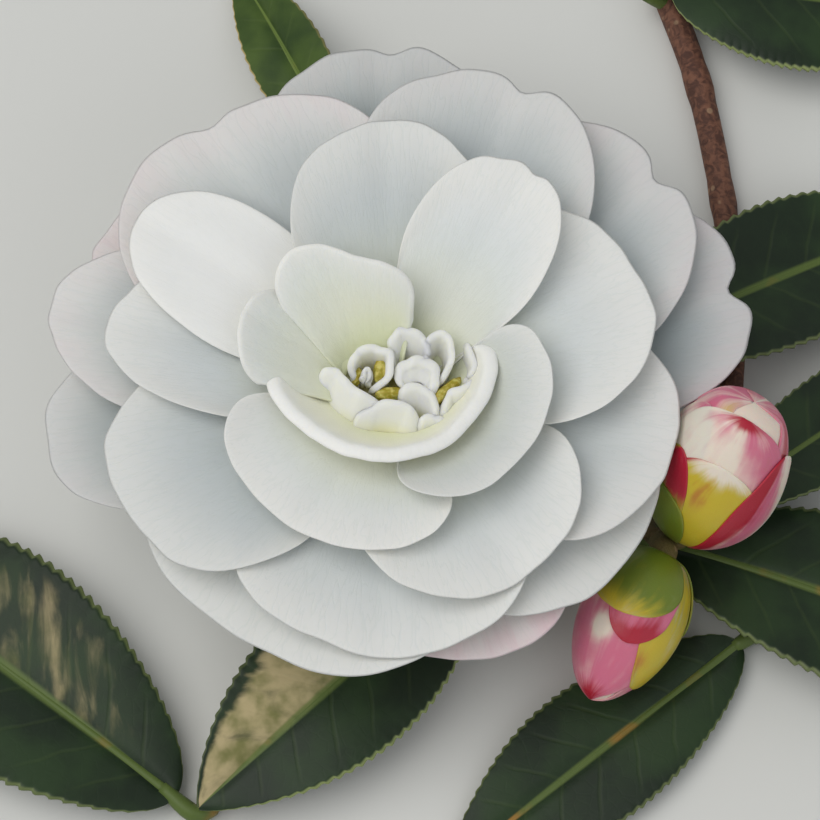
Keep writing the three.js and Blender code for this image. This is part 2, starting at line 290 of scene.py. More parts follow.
# %% Node group: fine grain
def grain_rule(place):
    return {"Grain": place.noise(5200.0, 3.0), "Patch": place.noise(130.0, 3.0)}


GRAIN = new_group("fine_grain", {"Place": "Vector"}, grain_rule)

# %% [markdown]
# ## Helpers for meshes
#
# Nearly everything on this plant is a thin sheet that narrows to a stalk: a petal, a sepal, a leaf. Each
# starts as a flat grid from a bmesh operator, and a rule moves every point of the grid to its place. The
# grid's own two shares, across and along, stay in the UV map, so that veins and streaks follow the surface.
# The alternative, sculpting by hand, would give every petal a different and unrepeatable count of points.

# %% Helpers for meshes
SAME_PLACE = 1e-6  # metres between points that are one and the same


def bend_grid(bm, across_steps, along_steps, place, paint=None):
    """Adds a grid to bm and moves it to place(across, along). paint holds a rule for each painted value."""
    paint = paint or {}
    for name in paint:
        if name not in bm.verts.layers.float:
            bm.verts.layers.float.new(name)
    layers = {name: bm.verts.layers.float[name] for name in paint}
    uv = bm.loops.layers.uv.verify()
    corners = bmesh.ops.create_grid(bm, x_segments=across_steps, y_segments=along_steps, size=0.5)["verts"]
    shares = {corner: (corner.co.x + 0.5, corner.co.y + 0.5) for corner in corners}
    for corner in corners:
        for loop in corner.link_loops:
            loop[uv].uv = shares[corner]
        for name, rule in paint.items():
            corner[layers[name]] = rule(*shares[corner])
    for corner in corners:
        corner.co = place(*shares[corner])
    return corners


def new_piece(name, bm, material, node):
    """Makes a piece of the plant from bm. It stands for a node of the frame and rides on the one body."""
    mesh = bpy.data.meshes.new(name)
    bm.to_mesh(mesh)
    bm.free()
    mesh.shade_smooth()
    mesh.materials.append(material)
    piece = bpy.data.objects.new(name, mesh)
    scene.collection.objects.link(piece)
    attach(piece, "root")
    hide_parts(node)
    return piece


def thicken(piece, thickness, offset=0.0):
    """Gives a sheet its thickness, in millimetres, half on each side where offset is 0."""
    modifier = piece.modifiers.new("thickness", "SOLIDIFY")
    modifier.thickness = thickness * MM
    modifier.offset = offset
    modifier.use_even_offset = False


def round_off(piece, levels=1):
    modifier = piece.modifiers.new("round", "SUBSURF")
    modifier.levels = levels
    modifier.render_levels = levels


def paint_all(bm, **values):
    """Gives all points of bm the same painted values."""
    for name, value in values.items():
        layer = bm.verts.layers.float.new(name)
        for corner in bm.verts:
            corner[layer] = value


def lerp(start, end, share):
    return start + (end - start) * share


def clamp(value, low=0.0, high=1.0):
    return max(low, min(high, value))


def ease(value, low, high):
    """0 up to low, 1 from high on, and a smooth step between."""
    share = clamp((value - low) / (high - low))
    return share * share * (3 - 2 * share)


print("mesh helpers ready")

# %% Helpers for curves, and for round bars along them
CURVE_STEPS = 48


def smooth_path(points):
    """A smooth curve through points: a centripetal Catmull-Rom spline, as a rule of its share."""
    nodes = [Vector(point) for point in points]
    nodes = [2 * nodes[0] - nodes[1]] + nodes + [2 * nodes[-1] - nodes[-2]]

    def curve(share):
        at = clamp(share) * (len(nodes) - 3)
        index = min(int(at), len(nodes) - 4)
        p = nodes[index:index + 4]
        t = [0.0]
        for before, after in zip(p, p[1:]):
            t.append(t[-1] + math.sqrt((after - before).length))
        now = lerp(t[1], t[2], at - index)

        def blend(first, second, start, end):
            return first.lerp(second, (now - start) / (end - start)) if end > start else first

        a = [blend(p[i], p[i + 1], t[i], t[i + 1]) for i in range(3)]
        b = [blend(a[i], a[i + 1], t[i], t[i + 2]) for i in range(2)]
        return blend(b[0], b[1], t[1], t[2])

    return curve


def even_steps(curve):
    """Points at even distances along curve(0) to curve(1), and the curve's length."""
    raw = [curve(step / (4 * CURVE_STEPS)) for step in range(4 * CURVE_STEPS + 1)]
    travelled = [0.0]
    for before, after in zip(raw, raw[1:]):
        travelled.append(travelled[-1] + (after - before).length)
    points = []
    at = 0
    for step in range(CURVE_STEPS + 1):
        wanted = travelled[-1] * step / CURVE_STEPS
        while at < len(raw) - 2 and travelled[at + 1] < wanted:
            at += 1
        share = clamp((wanted - travelled[at]) / (travelled[at + 1] - travelled[at]))
        points.append(raw[at].lerp(raw[at + 1], share))
    return points, travelled[-1]


def along_steps(points, share):
    """The place and the direction at a share of the way along evenly spaced points."""
    at = clamp(share) * (len(points) - 1)
    index = min(int(at), len(points) - 2)
    return points[index].lerp(points[index + 1], at - index), (points[index + 1] - points[index]).normalized()


def bend_once(start, middle, end):
    """A quadratic curve from start to end, pulled towards middle, as even_steps gives it."""
    return even_steps(lambda share: start.lerp(middle, share).lerp(middle.lerp(end, share), share))


def stations_on(points, steps, radius, reach=1.0, sink=lambda share: 0):
    """Even stations for sweep along points. radius and sink, in millimetres, are rules of the share."""
    stations = []
    for step in range(steps + 1):
        share = step / steps * reach
        spot, direction = along_steps(points, share)
        spot = placed(spot.x, spot.y, spot.z - sink(share))
        stations.append((spot, direction, radius(share) * MM))
    return stations


def sweep(bm, stations, sides=10):
    """A round bar through stations of (place, direction, radius), with a cap at each end."""
    def frame_at(station):
        spot, direction, radius = station
        turn = direction.to_track_quat("Z", "Y").to_matrix().to_4x4()
        return Matrix.Translation(spot) @ turn @ Matrix.Scale(radius, 4)

    ring = bmesh.ops.create_circle(bm, cap_ends=True, radius=1, segments=sides)["verts"]
    bmesh.ops.transform(bm, matrix=frame_at(stations[0]), verts=ring)
    edges = list(dict.fromkeys(edge for corner in ring for edge in corner.link_edges))
    for before, after in zip(stations, stations[1:]):
        grown = bmesh.ops.extrude_edge_only(bm, edges=edges)["geom"]
        ring = [item for item in grown if isinstance(item, bmesh.types.BMVert)]
        members = set(ring)
        rim = [item for item in grown if isinstance(item, bmesh.types.BMEdge)]
        edges = [edge for edge in rim if set(edge.verts) <= members]
        bmesh.ops.transform(bm, matrix=frame_at(after) @ frame_at(before).inverted(), verts=ring)
    bmesh.ops.edgeloop_fill(bm, edges=edges)


print("curve helpers ready")

# %% [markdown]
# ## What a petal is made of
#
# A camellia petal is nearly white all through. Light sinks in a little and comes out again, which softens
# every shadow, so the shader needs subsurface scattering and no strong gloss. The white isn't even: it is
# cream and a little green towards the heart, and faintly pink at the rims of the outermost petals, where
# the bud was coloured before it opened. Shade and light are painted on too: each petal is a cooler grey
# towards its claw, where the petals above shadow it, petals that lie low or under others are painted a
# darker grey as painted shade, and a few carry a painted highlight. Very fine veins fan out from the claw.

# %% Petal material
WHITE = colour(249, 247, 241)
# The next colour is painted shade, a cooler white towards each petal's claw; SHADE_GREY is painted shade and
# LIT_WHITE a painted highlight.
PAINTED_SHADE_WHITE = colour(234, 239, 238)
SHADE_GREY = colour(160, 170, 173)
LIT_WHITE = colour(254, 253, 248)
CREAM = colour(236, 232, 186)
GREENISH = colour(214, 222, 160)
PIT_YELLOW = colour(168, 156, 46)
BLUSH = colour(236, 196, 204)
ROSE = colour(214, 92, 128)
VEIN_WHITE = colour(226, 232, 226)


def from_bloom_axis(place):
    """The distance from the bloom's axis."""
    flattened = {"Vector": place, "Scale": (1, 1, 0), "Location": (-ORIGIN.x, -ORIGIN.y, 0)}
    outwards = add_node(place.tree, "Mapping", flattened)
    return add_node(place.tree, "VectorMath", {0: outwards}, "Value", operation="LENGTH")


def petal_material():
    tree = new_material(
        "petal", Roughness=0.5, Subsurface_Weight=0.25, Subsurface_Scale=0.0008,
        Subsurface_Radius=(1.0, 0.9, 0.72), Specular_IOR_Level=0.15, Sheen_Weight=0.15, Sheen_Roughness=0.5,
    )
    place = object_place(tree)
    own_uv = own_map(tree)
    along = add_node(tree, "SeparateXYZ", {0: own_uv}, "Y")
    streaks = use_group(tree, STREAKS, Map=own_uv, Streaks=24.0)
    grain = use_group(tree, GRAIN, Place=place)
    shade = painted(tree, "shade")
    from_axis = from_bloom_axis(place)
    # painted shade: a cooler grey white towards the claw, where the petals above shadow it, and white at the
    # rim
    base = along.step(0.55, 1.0).mix(PAINTED_SHADE_WHITE, WHITE)
    veined = (streaks["Vein"] * 0.25).mix(base, VEIN_WHITE)
    # painted light and shade: a shade below 0 lightens the petal towards lit white as a painted highlight,
    # and above 0 greys it as painted shade
    lit = (shade * -5.0).mix(veined, LIT_WHITE)
    shaded = shade.mix(lit, SHADE_GREY)
    inside = from_axis.step(0.021, 0.006) * along.step(0.95, 0.5)
    creamy = (inside * 0.42).mix(shaded, CREAM)
    low = from_axis.step(0.010, 0.0045) * along.step(0.7, 0.3)
    greenish = (low * 0.45).mix(creamy, GREENISH)
    blushed = painted(tree, "blush") * (streaks["Streak"] * 0.35 + 0.65)
    tinted = blushed.step(0.0, 0.5).mix(greenish, BLUSH)
    relief = streaks["Vein"] * -0.5 + grain["Grain"] * 0.5
    dress(tree, Base_Color=blushed.step(0.5, 1.0).mix(tinted, ROSE), Normal=relief.bump(SKIN_BUMP, 0.5))


petal_material()
print("petal material ready")

# %% [markdown]
# ## The petals
#
# Each petal leaves the bloom's axis in a narrow claw, rises, and bends over to its rim. Its spine is a
# quadratic curve in the plane through the axis, and its flat outline is a broad, rounded spoon. Both follow
# the rule of the solid bloom underneath, on a finer grid, with what a thin petal has and a solid one doesn't:
# a rim that curls and waves a little, and a soft crease along the middle.

# %% The rule for one petal
CLAW_RADIUS = 1.5
CLAW_HALF_WIDTH = 1.6
RIM_SHARE = 0.68  # the share of a petal's edge that is its round outer rim
WIDEST = 0.6
CLAW_TAPER = 1.4
PETAL_THICKNESS = 0.16
RIM_BLUNT = 0.9  # the lower, the blunter is the rim
RIM_WANDER = 0.032  # how far a petal's outline strays, as a share of its length
RIM_START = 0.72  # where along a petal its rim starts to curl and wave
NOTCH_SIDE = -0.06  # where the notch is across the petal, and how wide, as shares of the width
NOTCH_WIDTH = 0.055
CREASE_DEPTH = 0.3
CREASE_HALF_WIDTH = 1.6

# shade is painted shade, larger on petals that lie low or under others; below 0 it is a painted highlight.
Petal = namedtuple(
    "Petal", "azimuth reach height width rise tip cup root notch curl wave blush shade",
    defaults=(0, 0.3, 0.25, 0, 0),
)


def petal_spine(petal):
    """Points (radius, height) along the petal's middle, evenly spaced, and its length."""
    rise = math.tan(math.radians(petal.rise))
    tip = math.tan(math.radians(petal.tip))
    span = petal.reach - CLAW_RADIUS
    meet = (petal.height - petal.reach * tip - petal.root + CLAW_RADIUS * rise) / (rise - tip)
    knee = clamp(meet, CLAW_RADIUS + 0.15 * span, CLAW_RADIUS + 0.85 * span)
    start = Vector((CLAW_RADIUS, petal.root))
    middle = Vector((knee, petal.root + (knee - CLAW_RADIUS) * rise))
    end = Vector((petal.reach, petal.height))
    return bend_once(start, middle, end)


def petal_edge(side, length, width, notch):
    """The flat outline at side, from -1 to 1 round the edge: how far out, and how far across."""
    share = abs(side)
    sign = -1 if side < 0 else 1
    widest = WIDEST * length
    if share < RIM_SHARE:
        angle = (share / RIM_SHARE) * math.pi / 2
        across = width / 2 * math.sin(angle) * sign
        dip = notch * math.exp(-((across / width - NOTCH_SIDE) / NOTCH_WIDTH) ** 2)
        return widest + (length - widest) * math.cos(angle) ** RIM_BLUNT - dip, across
    foot = 0.05 * length
    out = lerp(widest, foot, (share - RIM_SHARE) / (1 - RIM_SHARE))
    swell = math.sin(math.pi / 2 * clamp((out - foot) / (widest - foot))) ** CLAW_TAPER
    return out, lerp(CLAW_HALF_WIDTH, width / 2, swell) * sign


def petal_rule(petal, seed):
    """place(across, along) for one petal, in metres."""
    spine, length = petal_spine(petal)
    bend = petal.cup / 100
    turn = math.radians(petal.azimuth)

    def place(across_share, along):
        side = 2 * across_share - 1
        edge_out, edge_across = petal_edge(side, length, petal.width, petal.notch)
        stray = noise.noise(Vector((2.6 * side, 0, 5.3 * seed)))
        stray += 0.35 * noise.noise(Vector((9 * side, 7, seed)))
        edge_out *= 1 + RIM_WANDER * stray
        edge_across *= 1 + RIM_WANDER * stray
        across = lerp(CLAW_HALF_WIDTH * side, edge_across, along)
        spot, slope = along_steps(spine, along * edge_out / length)
        lift = (1 - math.cos(bend * across)) / bend
        rim = ease(along, RIM_START, 1.0)
        lift += petal.curl * rim * rim
        lift += petal.wave * rim * math.sin(7 * side + 2.3 * seed)
        lift += 2 * petal.wave * along * noise.noise(Vector((2 * side, 2 * along, seed)))
        lift -= CREASE_DEPTH * ease(along, 0.1, 0.6) * math.exp(-(across / CREASE_HALF_WIDTH) ** 2)
        radius = spot.x - slope.y * lift
        sideways = math.sin(bend * across) / bend
        return placed(
            radius * math.cos(turn) - sideways * math.sin(turn),
            radius * math.sin(turn) + sideways * math.cos(turn),
            BLOOM_ROOT + spot.y + slope.x * lift,
        )

    return place


print("petal rule ready")

# %% The petals, ring by ring, from the heart outwards
# Each petal's shade is painted shade, or below 0 a painted highlight.
PETALS = {
    "cup": [
        Petal(328, 17, 14.4, 23, 55, 25, 5, 5.2, shade=0.46),
    ],
    "middle": [
        Petal(57, 26.6, 16.6, 16, 46, 15, 3, 5.7, 0.8, shade=0.08),
        Petal(93, 28.5, 14.6, 21, 43, 8, 3, 4.8, shade=0.42),
        Petal(22, 28.5, 12.8, 25, 42, 4, 2.5, 3.7, shade=0.2),
        Petal(299, 26.5, 11.4, 25, 41, 0, 2.5, 2.9, shade=0.24),
        Petal(241, 20.5, 12.6, 26, 45, 10, 3, 4.4, shade=0.08),
        Petal(168, 31, 12, 17, 41, 2, 2.2, 3.3, shade=0.3),
        Petal(147, 33, 12.9, 15.5, 41, -4, -1.5, 4.1, shade=-0.2),
    ],
    "outer": [
        Petal(207, 32, 10.4, 25, 34, -2, 1.5, 2.7, shade=0.5),
        Petal(266.7, 30.2, 8.9, 31, 34, -2, 1.5, 2, shade=0.32),
        Petal(343, 30.2, 10.2, 26, 35, 0, 1.5, 2.7, blush=0.08, shade=0.44),
        Petal(43, 39, 8.8, 29.5, 31, -2, 1.2, 1.8, 2.2, blush=0.14, shade=0.76),
        Petal(70, 37.8, 11.3, 27, 35, -1, 1.2, 3.2, 1.6, blush=0.1, shade=0.66),
        Petal(127, 37.8, 10, 32, 33, -4, 1.2, 2.4, 1.8, blush=0.16, shade=0.5),
        Petal(166, 38, 8.8, 20, 31, -3, 1.5, 1.8, blush=0.14, shade=0.62),
    ],
    "lowest": [
        Petal(243, 31.7, 6.6, 37, 26, -8, 1, 1.4, shade=0.42),
        Petal(291, 31, 5.4, 24, 23, -8, 1, 0.5, blush=0.34, shade=0.3),
        Petal(320, 30.8, 7.3, 28, 26, -6, 1, 1.8, shade=0.4),
        Petal(20.9, 40.6, 6, 26, 23, -8, 0.8, 0.5, 2.6, blush=0.16, shade=1),
        Petal(93, 42, 6.4, 28, 24, -8, 1, 0.6, 1.6, blush=0.1, shade=1),
        Petal(188, 37.3, 5.6, 21, 22, -8, 1, 0.5, blush=0.1, shade=0.92),
        Petal(149, 36.5, 7.3, 20, 26, -6, 1, 1.4, blush=0.25, shade=0.5),
    ],
}
PETAL_GRID = (48, 14)


def petal_paint(blush, shade):
    """Blush fades in at the rim, and the painted shade fades out towards it, to half at the rim. A shade
    below 0 is a painted highlight that makes a petal whiter.
    """
    return {
        "blush": lambda across, along: blush * ease(along, 0.76, 1.0),
        "shade": lambda across, along: shade * lerp(1.0, 0.5, ease(along, 0.7, 1.0)),
    }


def make_petal(name, size, rule, paint, thickness):
    """A petal of the bloom on a grid of size (across, along)."""
    bm = bmesh.new()
    bend_grid(bm, *size, rule, paint)
    piece = new_piece(name, bm, MATERIALS["petal"], "bloom")
    thicken(piece, thickness)
    round_off(piece)


petal_count = 0
for ring, petals in PETALS.items():
    for number, petal in enumerate(petals, start=1):
        petal_count += 1
        paint = petal_paint(petal.blush, petal.shade)
        rule = petal_rule(petal, petal_count)
        make_petal(f"petal_{ring}_{number}", PETAL_GRID, rule, paint, PETAL_THICKNESS)
print(petal_count, "petals")

# %% [markdown]
# ## The innermost petals
#
# The three petals that stand round the heart are cupped so much that a spoon outline doesn't fit them. Each
# is a sheet between its rim, a smooth curve through a few points in space, and its foot near the axis. The
# front one's rim rolls outwards, which makes the thick, bright lip under the heart, and a painted highlight
# makes the lip whiter still. The curled petals of the heart itself are made by the same rule, so it is
# written once for all of them.

# %% The rule for a sheet between a foot and a rim
# corner is how much of its height the sheet still has at its two ends.
# shade is painted shade, as on the petals; below 0 it is a painted highlight.
Sheet = namedtuple("Sheet", "foot narrow bulge roll rim shade corner", defaults=(0, 0.4))
ROLL_START = 0.84


def sheet_rule(sheet, seed, ruffle=0.15):
    """place(across, along) from the sheet's foot to its rim. Points are in millimetres above the root."""
    rim, _ = even_steps(smooth_path(sheet.rim))
    foot = Vector(sheet.foot)
    middle = sum(rim, Vector()) / len(rim)
    turn_at = ROLL_START if sheet.roll else 1.0

    def place(across, along):
        top, _ = along_steps(rim, across)
        low = foot + (top - middle) * sheet.narrow
        low.z = foot.z
        top = low.lerp(top, lerp(sheet.corner, 1, (1 - abs(2 * across - 1) ** 6) ** 0.5))
        outward = top - low
        outward.z = 0
        outward = outward.normalized() * sheet.roll
        share = min(1.0, along / turn_at)
        spot = low.lerp(top - outward, share + sheet.bulge * math.sin(math.pi * share))
        over = ease(along, turn_at, 1.0) if sheet.roll else 0.0
        spot = spot + outward * over
        spot.z = lerp(low.z, top.z, share) + abs(sheet.roll) * (0.25 * math.sin(math.pi * over) - 0.2 * over)
        spot += noise.noise_vector(top / 1.6 + Vector((0, 0, seed))) * ruffle * along
        return placed(spot.x, spot.y, BLOOM_ROOT + spot.z)

    return place


print("sheet rule ready")

# %% The three innermost petals
INNER_PETALS = {
    "petal_inner_back": Sheet((-2.6, 2.2, 8.0), 0.42, -0.04, 0.5, [
        (-12.2, 7.6, 12.6), (-12.6, 9.8, 14.6), (-11.2, 12.2, 16), (-8.3, 12.9, 16.4), (-4.8, 11.8, 16.4),
        (-1.6, 11.0, 16.2), (0.9, 10.0, 15.6), (1.8, 8.6, 14.2), (1.9, 6.6, 12.2)], 0.1, 0.9),
    "petal_inner_left": Sheet((-4.8, 1.0, 7.8), 0.45, 0.0, 0.4, [
        (-10.8, 9.0, 10.6), (-12.8, 9.3, 12.6), (-14.6, 8.3, 13.8), (-15.9, 6.2, 14.2), (-16.4, 3.4, 14.2),
        (-16.1, 0.8, 13.6), (-15.2, -1.0, 12.2)], 0.18, 0.9),
    # the front one's shade below 0 is a painted highlight on its lip
    "petal_inner_front": Sheet((0.2, -0.6, 5.2), 0.3, 0.14, 1.3, [
        (-14.3, 0.8, 11.2), (-13.6, -2.0, 12.5), (-11.4, -5.2, 13.2), (-8.8, -7.6, 13.7), (-5.8, -9.7, 14.2),
        (-1.8, -10.8, 14.5), (1.4, -10.5, 14.4), (4.6, -9.4, 14.1), (7.0, -7.4, 13.7), (9.2, -4.4, 13.3),
        (10.6, -1.2, 12.9), (11, 2.2, 12.3), (10.6, 4.4, 11.4)], -0.2, 0.85),
}
INNER_GRID = (48, 18)
INNER_THICKNESS = 0.42

for seed, (name, sheet) in enumerate(INNER_PETALS.items()):
    make_petal(name, INNER_GRID, sheet_rule(sheet, seed), petal_paint(0, sheet.shade), INNER_THICKNESS)
print(len(INNER_PETALS), "innermost petals")

# %% [markdown]
# ## The heart
#
# In the middle of a double camellia the stamens have turned into small, curled petals. They stand close
# together, bright white at their thick rims, cream lower down, and olive yellow in the narrow pits between
# them, where a few stunted stamens remain.

# %% Heart material
HEART_WHITE = colour(238, 238, 232)


def heart_material():
    tree = new_material(
        "heart", Roughness=0.45, Subsurface_Weight=0.5, Subsurface_Scale=0.0012,
        Subsurface_Radius=(1.0, 0.95, 0.6), Specular_IOR_Level=0.2,
    )
    place = object_place(tree)
    grain = use_group(tree, GRAIN, Place=place)
    level = add_node(tree, "SeparateXYZ", {0: place}, "Z")
    height = level - (ORIGIN.z + BLOOM_ROOT * MM) + (grain["Patch"] - 0.5) * 0.003
    creamy = height.step(0.0072, 0.0094).mix(CREAM, HEART_WHITE)
    tint = height.step(0.0058, 0.0080).mix(PIT_YELLOW, creamy)
    dress(tree, Base_Color=tint, Normal=grain["Grain"].bump(SKIN_BUMP, 0.4))


heart_material()
print("heart material ready")

# %% The curled petals of the heart
CURLED_PETALS = [
    # the ring, with a smaller curl inside it
    Sheet((-2.6, 1.2, 6.0), 0.6, 0.14, 0.45, [
        (-4.9, 0.3, 9.9), (-5.0, 1.6, 10.4), (-4.2, 2.9, 10.7), (-2.6, 3.6, 10.8), (-0.9, 3.3, 10.8),
        (-0.1, 2.1, 10.7), (-0.3, 0.7, 10.5), (-1.5, -0.5, 10.1), (-2.6, -0.6, 9.6)]),
    Sheet((-3, 0.9, 7), 0.6, -0.1, 0.1, [
        (-3.7, 0.3, 9.4), (-3.5, 1.1, 9.9), (-3.0, 1.3, 10.1), (-2.6, 0.7, 10), (-2.6, 0.1, 9.6)]),
    # the folded one at the left, and the one in front that leans over it
    Sheet((-6.6, -3.6, 5.6), 0.85, -0.16, 0.5, [
        (-8.3, 0.2, 8.2), (-7.6, 1.3, 9.7), (-6.3, 1.5, 10.2), (-5.3, 0.1, 10.3), (-4.1, -1.1, 10.3),
        (-2.4, -2.0, 10.2), (-0.9, -2.5, 9.6)]),
    Sheet((-1.9, -6.4, 5.6), 0.95, -0.16, 0.5, [
        (-4.4, -3.8, 8.4), (-3.0, -3.0, 9.6), (-1.7, -2.6, 10.2), (-0.3, -2.3, 10.3), (1.2, -2.6, 10.2),
        (2.2, -3.6, 9.6), (2.8, -5.0, 8.6)]),
    # the hood at the back, and the curl at its right
    Sheet((1.5, 2.2, 8.4), 0.8, -0.05, 0.4, [
        (-0.5, 2.6, 9.8), (-0.6, 3.8, 10.8), (-0.1, 4.9, 11.5), (1.0, 5.4, 11.9), (2.3, 5.0, 11.8),
        (3.2, 3.9, 11.3), (3.3, 2.6, 10.4)]),
    Sheet((4, 1.4, 6.0), 0.55, 0.12, 0.35, [
        (2.9, 1.4, 10.2), (3.3, 2.9, 11.1), (3.9, 4.2, 11.6), (4.8, 4.9, 11.8), (5.8, 4.0, 11.6),
        (6.1, 2.3, 11.2), (5.7, 0.7, 10.6), (4.6, -0.5, 9.8)]),
    # the broad ones in the middle
    Sheet((2.4, -0.5, 9.4), 0.4, 0.2, 0.8, [
        (-0.2, 0.2, 9.4), (0.2, 1.5, 10.2), (1.6, 2.4, 10.6), (3.4, 2.3, 10.6), (4.7, 1.2, 10.4),
        (4.7, -0.5, 10.1), (3.7, -2.0, 9.4)]),
    Sheet((2.7, -4.4, 5.8), 0.8, -0.16, 0.5, [
        (0.6, -2.2, 8.8), (1.0, -0.9, 9.9), (2.3, -0.4, 10.3), (3.6, -1.1, 10.2), (4.4, -2.5, 9.7),
        (4.8, -4.0, 8.6)]),
    # the low ones at the right
    Sheet((6.9, -3.4, 5.8), 0.9, -0.16, 0.5, [
        (4.6, -3.7, 8.4), (5.0, -2.4, 9.6), (6.1, -1.2, 10.2), (7.5, -0.3, 10.3), (8.9, 0.3, 9.9),
        (9.6, 0, 8.6)]),
    Sheet((4.2, -6.2, 5.8), 0.9, -0.16, 0.4, [
        (1.8, -4.8, 8.2), (2.8, -3.8, 9.2), (4.2, -3.6, 9.5), (5.6, -4.2, 9.2), (6.4, -5.4, 8.2)]),
    # the one that leans against the lip
    Sheet((6.2, 0.6, 6), 0.6, 0.14, 0.3, [
        (7.3, 5.0, 9.4), (8.0, 3.8, 10.6), (8.5, 2.2, 10.9), (8.3, 0.8, 10.5), (7.6, -0.2, 9.4)]),
]
CURL_GRID = (36, 16)
CURL_THICKNESS = 0.7
HEART_RUFFLE = 0.5
DOME = [(3, 0), (7.2, 4.2), (6.6, 5.4), (4.6, 6.4), (0, 7.2)]  # (radius, height)
# A stamen cushion: its middle, the half lengths of its oval, and its turn in degrees.
Cushion = namedtuple("Cushion", "x y height long wide turn")
CUSHIONS = [
    Cushion(-1.5, 1.7, 9.9, 1.5, 0.8, 80),
    Cushion(-4.0, 1.0, 9.6, 1.1, 0.5, 75),
    Cushion(-0.5, -1.1, 10.1, 1.6, 0.7, 5),
    Cushion(5.3, -0.9, 10.1, 2.3, 0.7, 44),
]


def turned(bm, outline, steps=48):
    """Spins an outline of (radius, height) about the bloom's axis."""
    corners = [bm.verts.new(placed(out, 0, BLOOM_ROOT + up)) for out, up in outline]
    edges = [bm.edges.new(pair) for pair in zip(corners, corners[1:])]
    axis = placed(0, 0, BLOOM_ROOT)
    bmesh.ops.spin(
        bm, geom=corners + edges, cent=axis, axis=(0, 0, 1), angle=2 * math.pi, steps=steps, use_merge=True)
    bmesh.ops.remove_doubles(bm, verts=bm.verts[:], dist=SAME_PLACE)
    bmesh.ops.recalc_face_normals(bm, faces=bm.faces[:])


heart = bmesh.new()
for seed, sheet in enumerate(CURLED_PETALS):
    bend_grid(heart, *CURL_GRID, sheet_rule(sheet, seed, HEART_RUFFLE))
heart_piece = new_piece("heart_curls", heart, MATERIALS["heart"], "bloom")
thicken(heart_piece, CURL_THICKNESS)
round_off(heart_piece)

dome = bmesh.new()
turned(dome, [(0, 0)] + DOME)
new_piece("heart_dome", dome, MATERIALS["heart"], "bloom")
print(len(CURLED_PETALS), "curled petals on a dome")

# %% The stamens in the pits
STAMEN_OLIVE = colour(164, 150, 38)
STAMEN_PALE = colour(210, 200, 110)
STAMEN_LUMPS = 0.16  # how far the lumps of a cushion stand out, as a share of its radius
STAMEN_SCALE = 1800  # how close together they are


def stamen_material():
    tree = new_material("stamens", Roughness=0.6, Subsurface_Weight=0.2, Subsurface_Scale=0.0006)
    clumps = object_place(tree).noise(1600.0, 3.0)
    tint = clumps.step(0.38, 0.66).mix(STAMEN_OLIVE, STAMEN_PALE)
    dress(tree, Base_Color=tint, Normal=clumps.bump(0.0002, 0.6))


stamen_material()
stamens = bmesh.new()
for cushion in CUSHIONS:
    ball = bmesh.ops.create_icosphere(stamens, subdivisions=4, radius=MM)["verts"]
    turn = Matrix.Rotation(math.radians(cushion.turn), 4, "Z")
    shape = turn @ Matrix.Diagonal((cushion.long, cushion.wide, 1, 1))
    middle = placed(cushion.x, cushion.y, BLOOM_ROOT + cushion.height - 1)
    for corner in ball:
        corner.co *= 1 + STAMEN_LUMPS * noise.noise(corner.co * STAMEN_SCALE + Vector((cushion.x, 0, 0)))
    bmesh.ops.transform(stamens, matrix=Matrix.Translation(middle) @ shape, verts=ball)
new_piece("heart_stamens", stamens, MATERIALS["stamens"], "bloom")
print(len(CUSHIONS), "stamen cushions")

# %% [markdown]
# ## The calyx
#
# Under the bloom sits a shallow cup of overlapping green scales, brown at their rims, where the bloom meets
# its stalk. The cup itself is turned, by spinning its outline, and each scale is a small petal-shaped sheet
# that hugs it.

# %% Calyx material
SEPAL_GREEN = colour(128, 140, 52)
SEPAL_PALE = colour(186, 186, 96)
SEPAL_BROWN = colour(112, 84, 44)


def calyx_material():
    tree = new_material("calyx", Roughness=0.42, Coat_Weight=0.1)
    streaks = use_group(tree, STREAKS, Map=own_map(tree), Streaks=14.0)
    grain = use_group(tree, GRAIN, Place=object_place(tree))
    base = streaks["Streak"].mix(SEPAL_GREEN, SEPAL_PALE)
    tint = painted(tree, "rim").mix(base, SEPAL_BROWN)
    dress(tree, Base_Color=tint, Normal=grain["Grain"].bump(0.00008, 0.5))


calyx_material()
print("calyx material ready")

# %% The cup and its scales
CALYX_OUTLINE = [
    (0, -0.3), (3.5, -0.3), (6.5, 0.9), (6.9, 0.9), (6.6, 0.0), (5.0, -1.9),
    (2.8, -3.3), (1.9, -4.6), (1.9, -5.7), (0, -5.7),
]
SCALE_ROWS = [  # azimuth of the first, count, reach, height of the tip, width, height of the root
    (20, 5, 7.7, 1.0, 7.6, -2.4),
    (55, 4, 5.6, -1.5, 5.6, -3.6),
]
SCALE_GRID = (12, 8)
SCALE_THICKNESS = 0.4


def scale_rule(azimuth, reach, tip, width, root):
    turn = math.radians(azimuth)

    def place(across, along):
        side = 2 * across - 1
        out = lerp(1.7, reach, along)
        half = width / 2 * math.sqrt(max(0.02, 1 - along ** 3)) * lerp(0.5, 1, along)
        spread = side * half / max(out, 3)
        up = lerp(root - 1.2, tip, along) - 0.9 * math.sin(math.pi * along) + 0.3 * side * side
        rise = BLOOM_ROOT + up - 0.25
        return placed(out * math.cos(turn + spread), out * math.sin(turn + spread), rise)

    return place


cup = bmesh.new()
turned(cup, CALYX_OUTLINE)
paint_all(cup, rim=0)
new_piece("calyx_cup", cup, MATERIALS["calyx"], "calyx")

